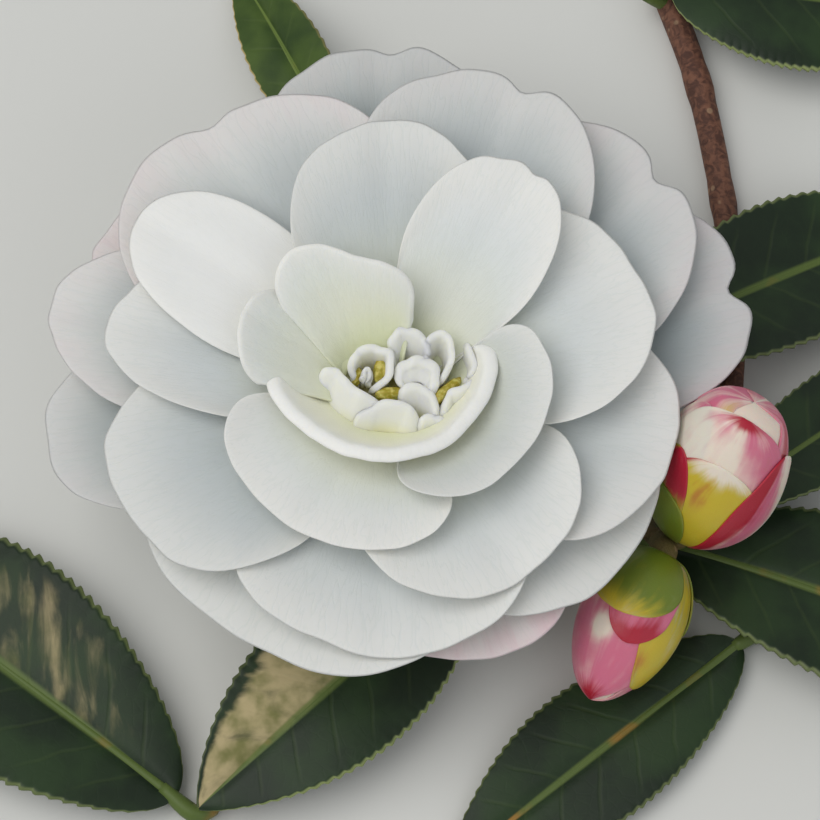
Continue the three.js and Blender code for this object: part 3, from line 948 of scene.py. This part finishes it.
scales = bmesh.new()
for start, count, reach, tip, width, root in SCALE_ROWS:
    for number in range(count):
        azimuth = start + number * 360 / count
        rim = {"rim": lambda across, along: ease(max(along, abs(2 * across - 1)), 0.86, 1.0)}
        bend_grid(scales, *SCALE_GRID, scale_rule(azimuth, reach, tip, width, root), rim)
scales_piece = new_piece("calyx_scales", scales, MATERIALS["calyx"], "calyx")
thicken(scales_piece, SCALE_THICKNESS)
round_off(scales_piece)
print("calyx ready")

# %% [markdown]
# ## The leaves
#
# A camellia leaf is thick and leathery. Its midrib and side veins are sunk on top, its edge has small teeth
# that point to the tip, and its two halves stand up a little from the midrib. The teeth are cut into the
# grid's outline, because a silhouette has to be real geometry, and so is the sunk midrib. The side veins
# are shallow enough to be left to the shader, which reads a painted count of veins.

# %% Leaf materials
LeafColours = namedtuple("LeafColours", "dark light vein edge")
LEAF_COLOURS = {
    "leaf_green": LeafColours(
        colour(26, 40, 24), colour(40, 60, 32), colour(98, 116, 56), colour(140, 152, 96)),
    "young_leaf_green": LeafColours(
        colour(46, 68, 24), colour(76, 98, 38), colour(112, 132, 62), colour(196, 176, 120)),
}
MOTTLE_TAN = colour(200, 182, 138)
MOTTLE_BROWN = colour(130, 128, 76)
MIDRIB_FLUSH = colour(168, 122, 52)


def leaf_material(name, tints):
    tree = new_material(name, Coat_Weight=0.08, Coat_Roughness=0.3, Specular_IOR_Level=0.25)
    place = object_place(tree)
    grain = use_group(tree, GRAIN, Place=place)
    vein_count = painted(tree, "vein")
    from_midrib = painted(tree, "from_midrib")
    veins = use_group(tree, VEINS, Vein_Count=vein_count, From_Midrib=from_midrib, Place=place)
    base = grain["Patch"].step(0.35, 0.68).mix(tints.dark, tints.light)
    netted = (veins["Net"] * 0.06).mix(base, tints.light)
    lined = (veins["Vein"] * 0.07).mix(netted, tints.vein)
    along_veins = add_node(tree, "CombineXYZ", {"X": vein_count, "Y": from_midrib})
    spread = along_veins.noise(1.7, 5.0, 0.5) + painted(tree, "mottle") * 0.4
    mottle = spread.step(0.6, 0.98) * painted(tree, "mottle").step(0.0, 0.3) * 0.85
    freckled = place.noise(320.0, 3.0).step(0.28, 0.64).mix(MOTTLE_BROWN, MOTTLE_TAN)
    flushed = grain["Patch"].step(0.56, 0.7).mix(tints.vein, MIDRIB_FLUSH)
    ribbed = (veins["Midrib"] * 0.8).mix(mottle.mix(lined, freckled), flushed)
    margin = from_midrib.step(0.94, 0.985) * painted(tree, "pale_edge")
    relief = veins["Vein"] * -0.2 + veins["Net"] * -0.04 + grain["Patch"] * 0.8
    dress(
        tree, Base_Color=margin.mix(ribbed, tints.edge), Normal=relief.bump(0.0002, 0.7),
        Roughness=mottle * 0.25 + grain["Patch"] * 0.15 + 0.4,
    )


for slot_name, tints in LEAF_COLOURS.items():
    leaf_material(slot_name, tints)
print("leaf materials ready")

# %% The rule for one leaf
# taper is how pointed the blade is, and mottle and pale_edge have a value for each half of it.
Leaf = namedtuple(
    "Leaf", "base tip width arch fold roll mottle pale_edge teeth taper",
    defaults=(0, (0, 0), (0.5, 0.5), 36, 0.6),
)
LEAVES = {
    "leaf_top": Leaf(
        (-3.2, 29, 5.6), (-20.4, 64.8, 0.3), 10, 2.4, 14, roll=-30, pale_edge=(0.3, 1), teeth=26),
    "leaf_top_right": Leaf((29.4, 57.4, 4.6), (65, 55, 0.3), 20.5, 3.4, 10, roll=4, pale_edge=(1, 0.6)),
    "leaf_left": Leaf((-21.2, -41.2, 1.8), (-68, -6.2, 0.3), 24.5, 3, 12, mottle=(0.46, 0), teeth=40),
    "leaf_bottom": Leaf(
        (9.8, -13.4, 5.2), (-20.8, -41.1, 4.1), 18.6, 2, 10, roll=-8, mottle=(1.25, 0), pale_edge=(0.3, 1),
        teeth=32, taper=0.15),
    "leaf_lower_right": Leaf((39.8, -20.4, 2.2), (3.5, -48.6, 0.3), 15.6, 0.6, 5),
    "leaf_right": Leaf((26.4, -10, 3.2), (76.7, -28.4, 0.3), 21.4, 3, 8, roll=-10),
    "leaf_behind_bud": Leaf((31.4, -10.4, 6), (70, 16.8, 0.3), 12.4, 3, 6),
    "leaf_far_right": Leaf((21.2, 9.4, 5), (68, 32, 0.3), 18, 2.4, 10),
}
LEAF_STALK = 3.0
LEAF_THICKNESS = 0.38
LEAF_ACROSS = 26
VEIN_SPACING = 5.2  # millimetres along the midrib
VEIN_LEAN = 0.75  # how far a side vein runs forward for each millimetre outwards
TOOTH_DEPTH = 0.04  # share of the half width
MIDRIB_SINK = 0.35
MIDRIB_HALF_WIDTH = 0.7
LEAF_WAVE = 0.35  # how far the edge waves up and down
LEAF_DROOP = 0.09  # how far the edge hangs, for each millimetre of the half width


def leaf_midrib(leaf):
    start = Vector(leaf.base)
    end = Vector(leaf.tip)
    return bend_once(start, start.lerp(end, 0.5) + Vector((0, 0, 2 * leaf.arch)), end)


def leaf_half_width(along, leaf, stalk):
    blade = clamp((along - stalk) / (1 - stalk))
    return leaf.width / 2 * max(0.0, math.sin(math.pi * blade ** 0.9)) ** (0.6 + leaf.taper * blade)


def tooth(along, count):
    """The depth of the notch behind a tooth, from 0 at its point to 1."""
    share = (along * count) % 1.0
    return ease(share, 0.0, 0.2) * (1 - ease(share, 0.2, 1.0))


def leaf_rule(leaf, seed):
    midrib, length = leaf_midrib(leaf)
    stalk = LEAF_STALK / length
    roll = math.radians(leaf.roll)
    fold = math.radians(leaf.fold)

    def measures(across_share, along_share):
        along = lerp(stalk * 0.8, 1.0, along_share)
        side = 2 * across_share - 1
        half = max(leaf_half_width(along, leaf, stalk), 0.12)
        cut = 1 - TOOTH_DEPTH * tooth(along, leaf.teeth) * ease(abs(side), 0.8, 1.0)
        return along, side, side * half * cut, half

    def place(across_share, along_share):
        along, side, out, half = measures(across_share, along_share)
        spot, tangent = along_steps(midrib, along)
        across = Vector((-tangent.y, tangent.x, 0)).normalized()
        across = Matrix.Rotation(roll, 3, tangent) @ across
        up = tangent.cross(across)
        lift = abs(out) * math.sin(fold)
        lift -= LEAF_DROOP * side * side * half
        lift += LEAF_WAVE * side * side * math.sin(9 * along + 2.1 * seed + (1.3 if side > 0 else 0))
        lift -= MIDRIB_SINK * math.exp(-(out / MIDRIB_HALF_WIDTH) ** 2) * ease(half, 1, 4)
        return placed(*(spot + across * out * math.cos(fold) + up * lift))

    def vein(across_share, along_share):
        along, _, out, _ = measures(across_share, along_share)
        return (along * length - VEIN_LEAN * abs(out)) / VEIN_SPACING + 20

    def half_value(values, across_share):
        """Each half of the blade has its own value, with a soft change over the midrib."""
        return lerp(values[0], values[1], ease(across_share, 0.47, 0.53))

    def mottle(across_share, along_share):
        inner = 1 - ease(abs(2 * across_share - 1), 0.62, 0.95)
        return half_value(leaf.mottle, across_share) * inner * ease(along_share, 0.1, 0.3)

    paint = {
        "vein": vein,
        "from_midrib": lambda across_share, along_share: abs(2 * across_share - 1),
        "mottle": mottle,
        "pale_edge": lambda across_share, along_share: half_value(leaf.pale_edge, across_share),
    }
    return place, paint


print("leaf rule ready")

# %% The leaves, each with its stalk and midrib
RIB_STEPS = 24
RIB_REACH = 0.97  # share of the midrib that the bar under it runs along
RIB_SINK = 0.45  # how far the bar lies under the blade's middle


def leaf_slot(name):
    return "young_leaf_green" if name == "leaf_top" else "leaf_green"


def make_leaf(name, leaf, seed):
    slot = leaf_slot(name)
    place, paint = leaf_rule(leaf, seed)
    bm = bmesh.new()
    bend_grid(bm, LEAF_ACROSS, 5 * leaf.teeth, place, paint)
    thicken(new_piece(name, bm, MATERIALS[slot], name), LEAF_THICKNESS)

    rib = bmesh.new()
    midrib, _ = leaf_midrib(leaf)
    stations = stations_on(
        midrib, RIB_STEPS, lambda share: lerp(0.85, 0.16, share ** 0.6), RIB_REACH,
        lambda share: RIB_SINK * ease(share, 0.03, 0.1))
    sweep(rib, stations)
    paint_all(rib, vein=0, from_midrib=0, mottle=0, pale_edge=0)
    new_piece(name + "_stalk", rib, MATERIALS[slot], name)


for seed, (name, leaf) in enumerate(LEAVES.items()):
    make_leaf(name, leaf, seed)
print(len(LEAVES), "leaves")

# %% [markdown]
# ## The twigs
#
# The twig is woody and reddish brown, with fine cracks along it and small pale pores, and it branches to the
# bloom, the buds and the leaves. Each stretch is a ring that is extruded from station to station along a
# smooth curve. That keeps the count of sides the same all the way, which a curve object with a bevel would
# too, but the ring can also swell at each knot.

# %% Bark and cut wood
BARK_DARK = colour(78, 46, 34)
BARK_LIGHT = colour(122, 80, 60)
BARK_GREEN = colour(112, 110, 56)
PORE = colour(190, 160, 126)
CUT_WOOD = colour(222, 206, 160)
CUT_RING = colour(176, 148, 96)


def bark_material():
    tree = new_material("bark", Roughness=0.72)
    place = object_place(tree)
    grain = use_group(tree, GRAIN, Place=place)
    cracks = place.noise(900.0, 6.0, 1.2)
    base = cracks.step(0.35, 0.65).mix(BARK_DARK, BARK_LIGHT)
    young = (painted(tree, "young") * 0.6).mix(base, BARK_GREEN)
    pores = add_node(tree, "TexVoronoi", {"Vector": place, "Scale": 420.0}, "Distance")
    skin = (pores.step(0.2, 0.12) * 0.4).mix(young, PORE)
    wood = painted(tree, "wood")
    tint = wood.step(0.1, 0.35).mix(skin, wood.step(0.5, 1.0).mix(CUT_RING, CUT_WOOD))
    relief = cracks + grain["Grain"] * 0.4
    dress(tree, Base_Color=tint, Normal=relief.bump(0.0003, 0.7))


bark_material()
print("bark ready")

# %% The rule for one twig
Twig = namedtuple("Twig", "thick thin young points")
TWIGS = {
    "main_twig": Twig(1.8, 1.2, 0.0, [
        (25.6, 79, 1.8), (31.6, 60, 1.8), (35.4, 47, 1.8), (38, 29.4, 1.7), (38.6, 18, 1.6),
        (37.6, 4, 1.5), (37.4, -9, 1.4), (39.4, -18.4, 1.5)]),
    "flower_shoot": Twig(1.35, 1.5, 0.4, [
        (38.1, 12, 1.7), (35.9, 11.3, 1.7), (28, 9, 2.4), (16, 5.6, 3), (5, 1.6, 3.2), (0.4, 0.1, 4.6),
        (0, 0, 7.6)]),
    "lower_shoot": Twig(1.3, 1.0, 0.3, [
        (10.2, 3.5, 3), (10.4, 1.2, 2.6), (10.8, -8, 2.8), (8, -17, 2.4), (-3, -29, 1.8), (-19.6, -40, 1)]),
    "upper_shoot": Twig(1.1, 0.9, 0.5, [(7.6, 2.7, 3.1), (7.2, 4.6, 3.4), (3, 14, 3.8), (-1.6, 26.6, 4.6)]),
    "bud_spur": Twig(1.3, 1.15, 0.8, [
        (22, 7.3, 2.8), (22.4, 5.6, 3.4), (25, -3, 4.2), (27, -9.4, 6), (28.7, -12.6, 8)]),
}
TWIG_STEPS = 60
TWIG_SIDES = 16
KNOT_HEIGHT = 0.1  # as shares of the radius
BARK_WOBBLE = 0.05
WOOD_RINGS = [(0.18, 0.4), (0.05, 1.0), (0.5, 0.9), (0.1, 0.55), (0.1, 0.95), (0.35, 0.9), (0.08, 0.4)]


def saw_cut(bm, spot):
    """Paints rings of bare wood on the flat end at spot, from just inside the bark to the pith."""
    layer = bm.verts.layers.float["wood"]
    end = min(bm.faces, key=lambda face: (face.calc_center_median() - spot).length)
    for inset, value in WOOD_RINGS:
        bmesh.ops.inset_region(bm, faces=[end], thickness=inset * MM, use_even_offset=True)
        for corner in end.verts:
            corner[layer] = value


def make_twig(name, twig, seed):
    points, length = even_steps(smooth_path(twig.points))

    def radius(share):
        knots = KNOT_HEIGHT * max(0.0, math.sin(length * share / 2.4 + seed)) ** 6
        wobble = BARK_WOBBLE * noise.noise(Vector((length * share / 3, seed, 0)))
        return lerp(twig.thick, twig.thin, share) * (0.97 + knots + wobble)

    bm = bmesh.new()
    stations = stations_on(points, TWIG_STEPS, radius)
    sweep(bm, stations, TWIG_SIDES)
    paint_all(bm, young=twig.young, wood=0)
    if name == "main_twig":
        saw_cut(bm, stations[0][0])
    new_piece(name, bm, MATERIALS["bark"], name)


for seed, (name, twig) in enumerate(TWIGS.items()):
    make_twig(name, twig, seed)
print(len(TWIGS), "twigs")

# %% The joints between the leaves and the twigs
JOINT_STEPS = 8


def nearest_on_twigs(point):
    """The nearest place on the middle line of any twig."""
    spots = [spot for twig in TWIGS.values() for spot in even_steps(smooth_path(twig.points))[0]]
    return min(spots, key=lambda spot: (spot - point).length)


def add_joint(bm, base, beyond, thick, thin):
    """A short stalk from the nearest twig through base to a place beyond it."""
    points, _ = even_steps(smooth_path([nearest_on_twigs(Vector(base)), base, beyond]))
    sweep(bm, stations_on(points, JOINT_STEPS, lambda share: lerp(thick, thin, share)))


for name, leaf in LEAVES.items():
    bm = bmesh.new()
    midrib, _ = leaf_midrib(leaf)
    beyond, _ = along_steps(midrib, 0.08)
    add_joint(bm, leaf.base, beyond - Vector((0, 0, 0.2)), 1.15, 0.75)
    paint_all(bm, vein=0, from_midrib=0, mottle=0, pale_edge=0)
    slot = leaf_slot(name)
    new_piece(name + "_joint", bm, MATERIALS[slot], name)

# %% [markdown]
# ## The buds
#
# A camellia bud is an egg of tightly wrapped petals in a cup of green scales. Where a petal's edge was out
# in the light it turned pink or crimson, and where the scales covered it, it stayed cream. Each petal and
# scale is a patch that hugs the egg at its own height, and its colours are painted on its points.

# %% Bud material
BUD_CREAM = colour(243, 224, 208)
BUD_PAINTS = {
    "pink": colour(216, 112, 140),
    "green": colour(112, 128, 34),
    "gold": colour(206, 180, 44),
    "crimson": colour(178, 18, 48),
}


def bud_material():
    tree = new_material(
        "bud", Roughness=0.42, Coat_Weight=0.12, Coat_Roughness=0.25, Subsurface_Weight=0.2,
        Subsurface_Scale=0.0008,
    )
    place = object_place(tree)
    streaks = use_group(tree, STREAKS, Map=own_map(tree), Streaks=13.0)
    grain = use_group(tree, GRAIN, Place=place)
    cloudy = (streaks["Streak"] - 0.5) * 0.18 + (place.noise(300.0, 3.0) - 0.5) * 0.6
    tint = BUD_CREAM
    for name, shade in BUD_PAINTS.items():
        tint = (painted(tree, name) + cloudy).step(0.15, 0.85).mix(tint, shade)
    relief = streaks["Streak"] * 0.6 + grain["Grain"]
    dress(tree, Base_Color=tint, Normal=relief.bump(SKIN_BUMP, 0.5))


bud_material()
print("bud material ready")

# %% [markdown]
# A bud isn't quite straight: its tip leans towards the light, so its middle line is bent. Each petal or
# scale is a patch. Its first row of values says where it lies on the egg, and the dabs are strokes of the
# brush on it: which colour, where between its edges and between its foot and its tip, how large, and how
# strong. A negative dab wipes colour off again.

# %% Where the petals and scales of a bud lie
Bud = namedtuple("Bud", "base axis length width blunt point bend")
BUDS = {
    "bud_right": Bud((30.7, -12.1, 8.9), (7.9, 10.2, 14.2), 21.3, 14.4, 0.6, -0.3, (-2.0, -2.6, 0.7)),
    "bud_lower": Bud((28.8, -14.8, 10.6), (-7.3, -13.9, -3), 17.6, 11.6, 0.5, 0.1, (0, 0, 0)),
}
# turn and spread are degrees round the egg, foot and top are shares of its length, lift is millimetres. The
# larger taper is, the blunter is the tip.
Patch = namedtuple("Patch", "turn spread foot top lift taper base dabs")
Dab = namedtuple("Dab", "paint side along wide long strength")
PATCHES = {
    "bud_right": [
        Patch(160, 200, 0.05, 1.0, 0.0, 12, {"pink": 0.5}, [
            Dab("pink", 0.35, 0.72, 0.1, 0.5, 0.5), Dab("pink", -0.15, 0.8, 0.1, 0.3, 0.5),
            Dab("pink", -0.8, 0.9, 0.4, 0.4, 0.6), Dab("gold", 0.8, 0.93, 0.3, 0.06, 0.6)]),
        Patch(40, 190, 0.05, 1.0, 0.1, 12, {"pink": 0.7}, [
            Dab("pink", 0.2, 0.85, 0.1, 0.3, -0.5), Dab("crimson", 0.9, 0.85, 0.2, 0.4, 0.4),
            Dab("crimson", -0.8, 0.78, 0.12, 0.2, 0.9)]),
        Patch(108, 90, 0.05, 0.93, 0.16, 5, {"pink": 0.6}, [
            Dab("pink", -0.4, 0.95, 0.8, 0.1, 0.5), Dab("pink", 0.2, 0.5, 0.3, 0.3, -0.3)]),
        Patch(196, 84, 0.05, 0.9, 0.16, 5, {"pink": 0.35}, [
            Dab("pink", -0.2, 0.97, 0.9, 0.05, 0.5), Dab("green", 0, 0.7, 0.5, 0.1, 0.3)]),
        Patch(252, 144, 0.05, 0.97, 0.24, 12, {"pink": 0.2}, [
            Dab("pink", 0.85, 0.7, 0.5, 0.6, 0.6), Dab("pink", -0.6, 0.93, 0.2, 0.08, 0.5),
            Dab("pink", -0.25, 0.9, 0.1, 0.14, 0.4), Dab("pink", 0.3, 0.93, 0.16, 0.14, 0.5),
            Dab("gold", -0.2, 0.98, 0.3, 0.03, 0.4), Dab("crimson", 0.1, 1.0, 0.9, 0.06, 1.2)]),
        Patch(210, 66, 0.0, 0.62, 0.42, 3, {"green": 0.9, "gold": 0.4}, [
            Dab("crimson", 0.4, 0.86, 0.9, 0.26, 1.6)]),
        Patch(254, 112, 0.0, 0.68, 0.36, 4, {"gold": 0.9}, [
            Dab("gold", 0, 1.0, 1.6, 0.16, -0.9), Dab("crimson", -0.1, 0.7, 0.24, 0.2, 0.34),
            Dab("green", -0.9, 0.3, 0.5, 0.5, 0.6), Dab("crimson", -0.98, 0.8, 0.16, 0.2, 1.0)]),
        Patch(120, 120, 0.0, 0.5, 0.4, 3, {"green": 1}, []),
        Patch(20, 110, 0.0, 0.42, 0.4, 3, {"green": 1}, []),
        Patch(326, 104, 0.0, 0.82, 0.5, 2.6, {"pink": 0.16}, [
            Dab("crimson", -0.9, 0.55, 0.34, 0.8, 1.3), Dab("pink", -0.45, 0.6, 0.36, 0.8, 0.7)]),
        Patch(205, 100, 0.0, 0.38, 0.56, 3, {"green": 1, "gold": 0.15}, []),
    ],
    "bud_lower": [
        Patch(230, 190, 0.05, 1.0, 0.0, 12, {"pink": 0.7}, [Dab("crimson", 0, 1, 1, 0.1, 0.8)]),
        Patch(330, 150, 0.05, 1.0, 0.1, 12, {"pink": 0.6}, [Dab("crimson", 0, 1, 1, 0.1, 0.8)]),
        Patch(112, 170, 0.05, 1.0, 0.2, 12, {"pink": 0.72}, [
            Dab("pink", 0.04, 0.57, 0.16, 0.08, -0.9), Dab("pink", -0.6, 0.7, 0.5, 0.3, 0.2),
            Dab("crimson", 0.8, 0.6, 0.3, 0.3, 0.3), Dab("crimson", 0, 1.0, 1, 0.1, 1.0)]),
        Patch(24, 116, 0.0, 0.84, 0.34, 3, {"gold": 0.55, "green": 0.7}, [
            Dab("crimson", 0.85, 0.86, 0.3, 0.14, 0.45), Dab("gold", 0.3, 0.75, 0.5, 0.25, 0.4)]),
        Patch(86, 88, 0.0, 0.63, 0.42, 3, {"pink": 1.0, "crimson": 0.25}, [
            Dab("crimson", 0, 0.97, 1.3, 0.12, 1.0), Dab("crimson", -0.7, 0.9, 0.5, 0.2, 0.6)]),
        Patch(200, 110, 0.0, 0.5, 0.46, 3, {"green": 0.95, "gold": 0.3}, []),
        Patch(106, 130, 0.0, 0.48, 0.5, 3, {"green": 0.95, "gold": 0.1}, [
            Dab("gold", 0, 1.0, 2, 0.3, 0.6), Dab("green", 0, 1.02, 2, 0.16, -0.5)]),
        Patch(330, 80, 0.0, 0.42, 0.6, 3, {"green": 0.9, "gold": 0.3}, []),
    ],
}
PATCH_GRID = (28, 30)
PATCH_THICKNESS = 0.24
EGG_GRID = (40, 24)
BUD_SKIN = 0.5  # how far the bare egg lies inside the solid's surface


def egg_rule(bud):
    """surface(angle, along, lift) of the egg round its bent middle line."""
    axis = Vector(bud.axis).normalized()
    first = (Vector((1, 0, 0)) - axis * axis.x).normalized()
    second = axis.cross(first)

    def surface(angle, along, lift):
        along = clamp(along)
        swell = max(0.0, math.sin(math.pi * along ** 0.85)) ** (bud.blunt + bud.point * along)
        out = max(0.0, (bud.width / 2 - BUD_SKIN) * swell + lift * min(1, 4 * swell))
        spot = Vector(bud.base) + axis * bud.length * along + Vector(bud.bend) * along * along
        return placed(*(spot + (first * math.cos(angle) + second * math.sin(angle)) * out))

    return surface


print(sum(len(rows) for rows in PATCHES.values()), "patches")

# %% The buds


def patch_rule(surface, patch, seed):
    def place(across, along):
        side = 2 * across - 1
        half = patch.spread / 2 * math.sqrt(max(0.0025, 1 - along ** patch.taper))
        angle = math.radians(patch.turn + side * half + 4 * noise.noise(Vector((2 * side, 3 * along, seed))))
        loose = 0.06 * ease(max(along, abs(side)), 0.8, 1.0)
        return surface(angle, lerp(patch.foot, patch.top, along), patch.lift + loose)

    def paint_rule(name):
        dabs = [dab for dab in patch.dabs if dab.paint == name]

        def amount(across, along):
            total = patch.base.get(name, 0)
            for dab in dabs:
                away = ((2 * across - 1 - dab.side) / dab.wide) ** 2 + ((along - dab.along) / dab.long) ** 2
                total += dab.strength * math.exp(-away)
            return clamp(total)

        return amount

    return place, {name: paint_rule(name) for name in BUD_PAINTS}


def make_bud(name, bud):
    surface = egg_rule(bud)
    core = bmesh.new()
    bend_grid(core, *EGG_GRID, lambda across, along: surface(2 * math.pi * across, along, 0))
    bmesh.ops.remove_doubles(core, verts=core.verts[:], dist=SAME_PLACE)
    paint_all(core, **dict.fromkeys(BUD_PAINTS, 0))
    new_piece(name + "_core", core, MATERIALS["bud"], name)
    petals = bmesh.new()
    for seed, patch in enumerate(PATCHES[name]):
        place, paint = patch_rule(surface, patch, seed)
        bend_grid(petals, *PATCH_GRID, place, paint)
    piece = new_piece(name + "_petals", petals, MATERIALS["bud"], name)
    thicken(piece, PATCH_THICKNESS)
    round_off(piece)


bud_stalks = bmesh.new()
for name, bud in BUDS.items():
    make_bud(name, bud)
    add_joint(bud_stalks, bud.base, Vector(bud.base) + Vector(bud.axis).normalized(), 1.3, 1.6)
paint_all(bud_stalks, young=1, wood=0)
new_piece("bud_stalks", bud_stalks, MATERIALS["bark"], "bud_spur")
print(len(BUDS), "buds")

# %% [markdown]
# ## Floor and light
#
# A plain, pale floor carries the sprig, and its soft shadows show how each leaf rests on it. The light is one
# large, soft lamp over the left shoulder, a weaker one from the right, and an even, pale surround.

# %% Floor
FLOOR_SIZE = 3.0


new_material("floor", Roughness=0.85, Base_Color=colour(222, 222, 218))
floor_mesh = bmesh.new()
bmesh.ops.create_grid(floor_mesh, x_segments=1, y_segments=1, size=FLOOR_SIZE / 2)
floor_data = bpy.data.meshes.new("floor")
floor_mesh.to_mesh(floor_data)
floor_mesh.free()
floor_data.materials.append(MATERIALS["floor"])
floor = bpy.data.objects.new("floor", floor_data)
scene.collection.objects.link(floor)
print("floor ready")

# %% Lights
Lamp = namedtuple("Lamp", "name place size power tint")
LAMPS = [
    Lamp("key_light", (-0.42, -0.05, 0.8), 0.8, 4.15, (1.0, 0.985, 0.96)),
    Lamp("fill_light", (0.5, -0.6, 0.5), 0.8, 0.9, (0.93, 0.97, 1.0)),
]
SURROUND = 0.42


def aim(lamp, at):
    """Turns a lamp, whose light leaves it along its own -Z, to shine on a point."""
    lamp.rotation_euler = (at - lamp.location).to_track_quat("-Z", "Y").to_euler()


for lamp in LAMPS:
    data = bpy.data.lights.new(lamp.name, "AREA")
    data.size = lamp.size
    data.energy = lamp.power
    data.color = lamp.tint
    light = bpy.data.objects.new(lamp.name, data)
    light.location = lamp.place
    aim(light, placed(0, 0, BLOOM_ROOT))
    scene.collection.objects.link(light)

world = bpy.data.worlds.new("surround")
world.use_nodes = True
world.node_tree.nodes["Background"].inputs["Color"].default_value = (0.95, 0.98, 1.0, 1)
world.node_tree.nodes["Background"].inputs["Strength"].default_value = SURROUND
scene.world = world
scene.view_settings.view_transform = "Standard"
print(len(LAMPS), "lamps")
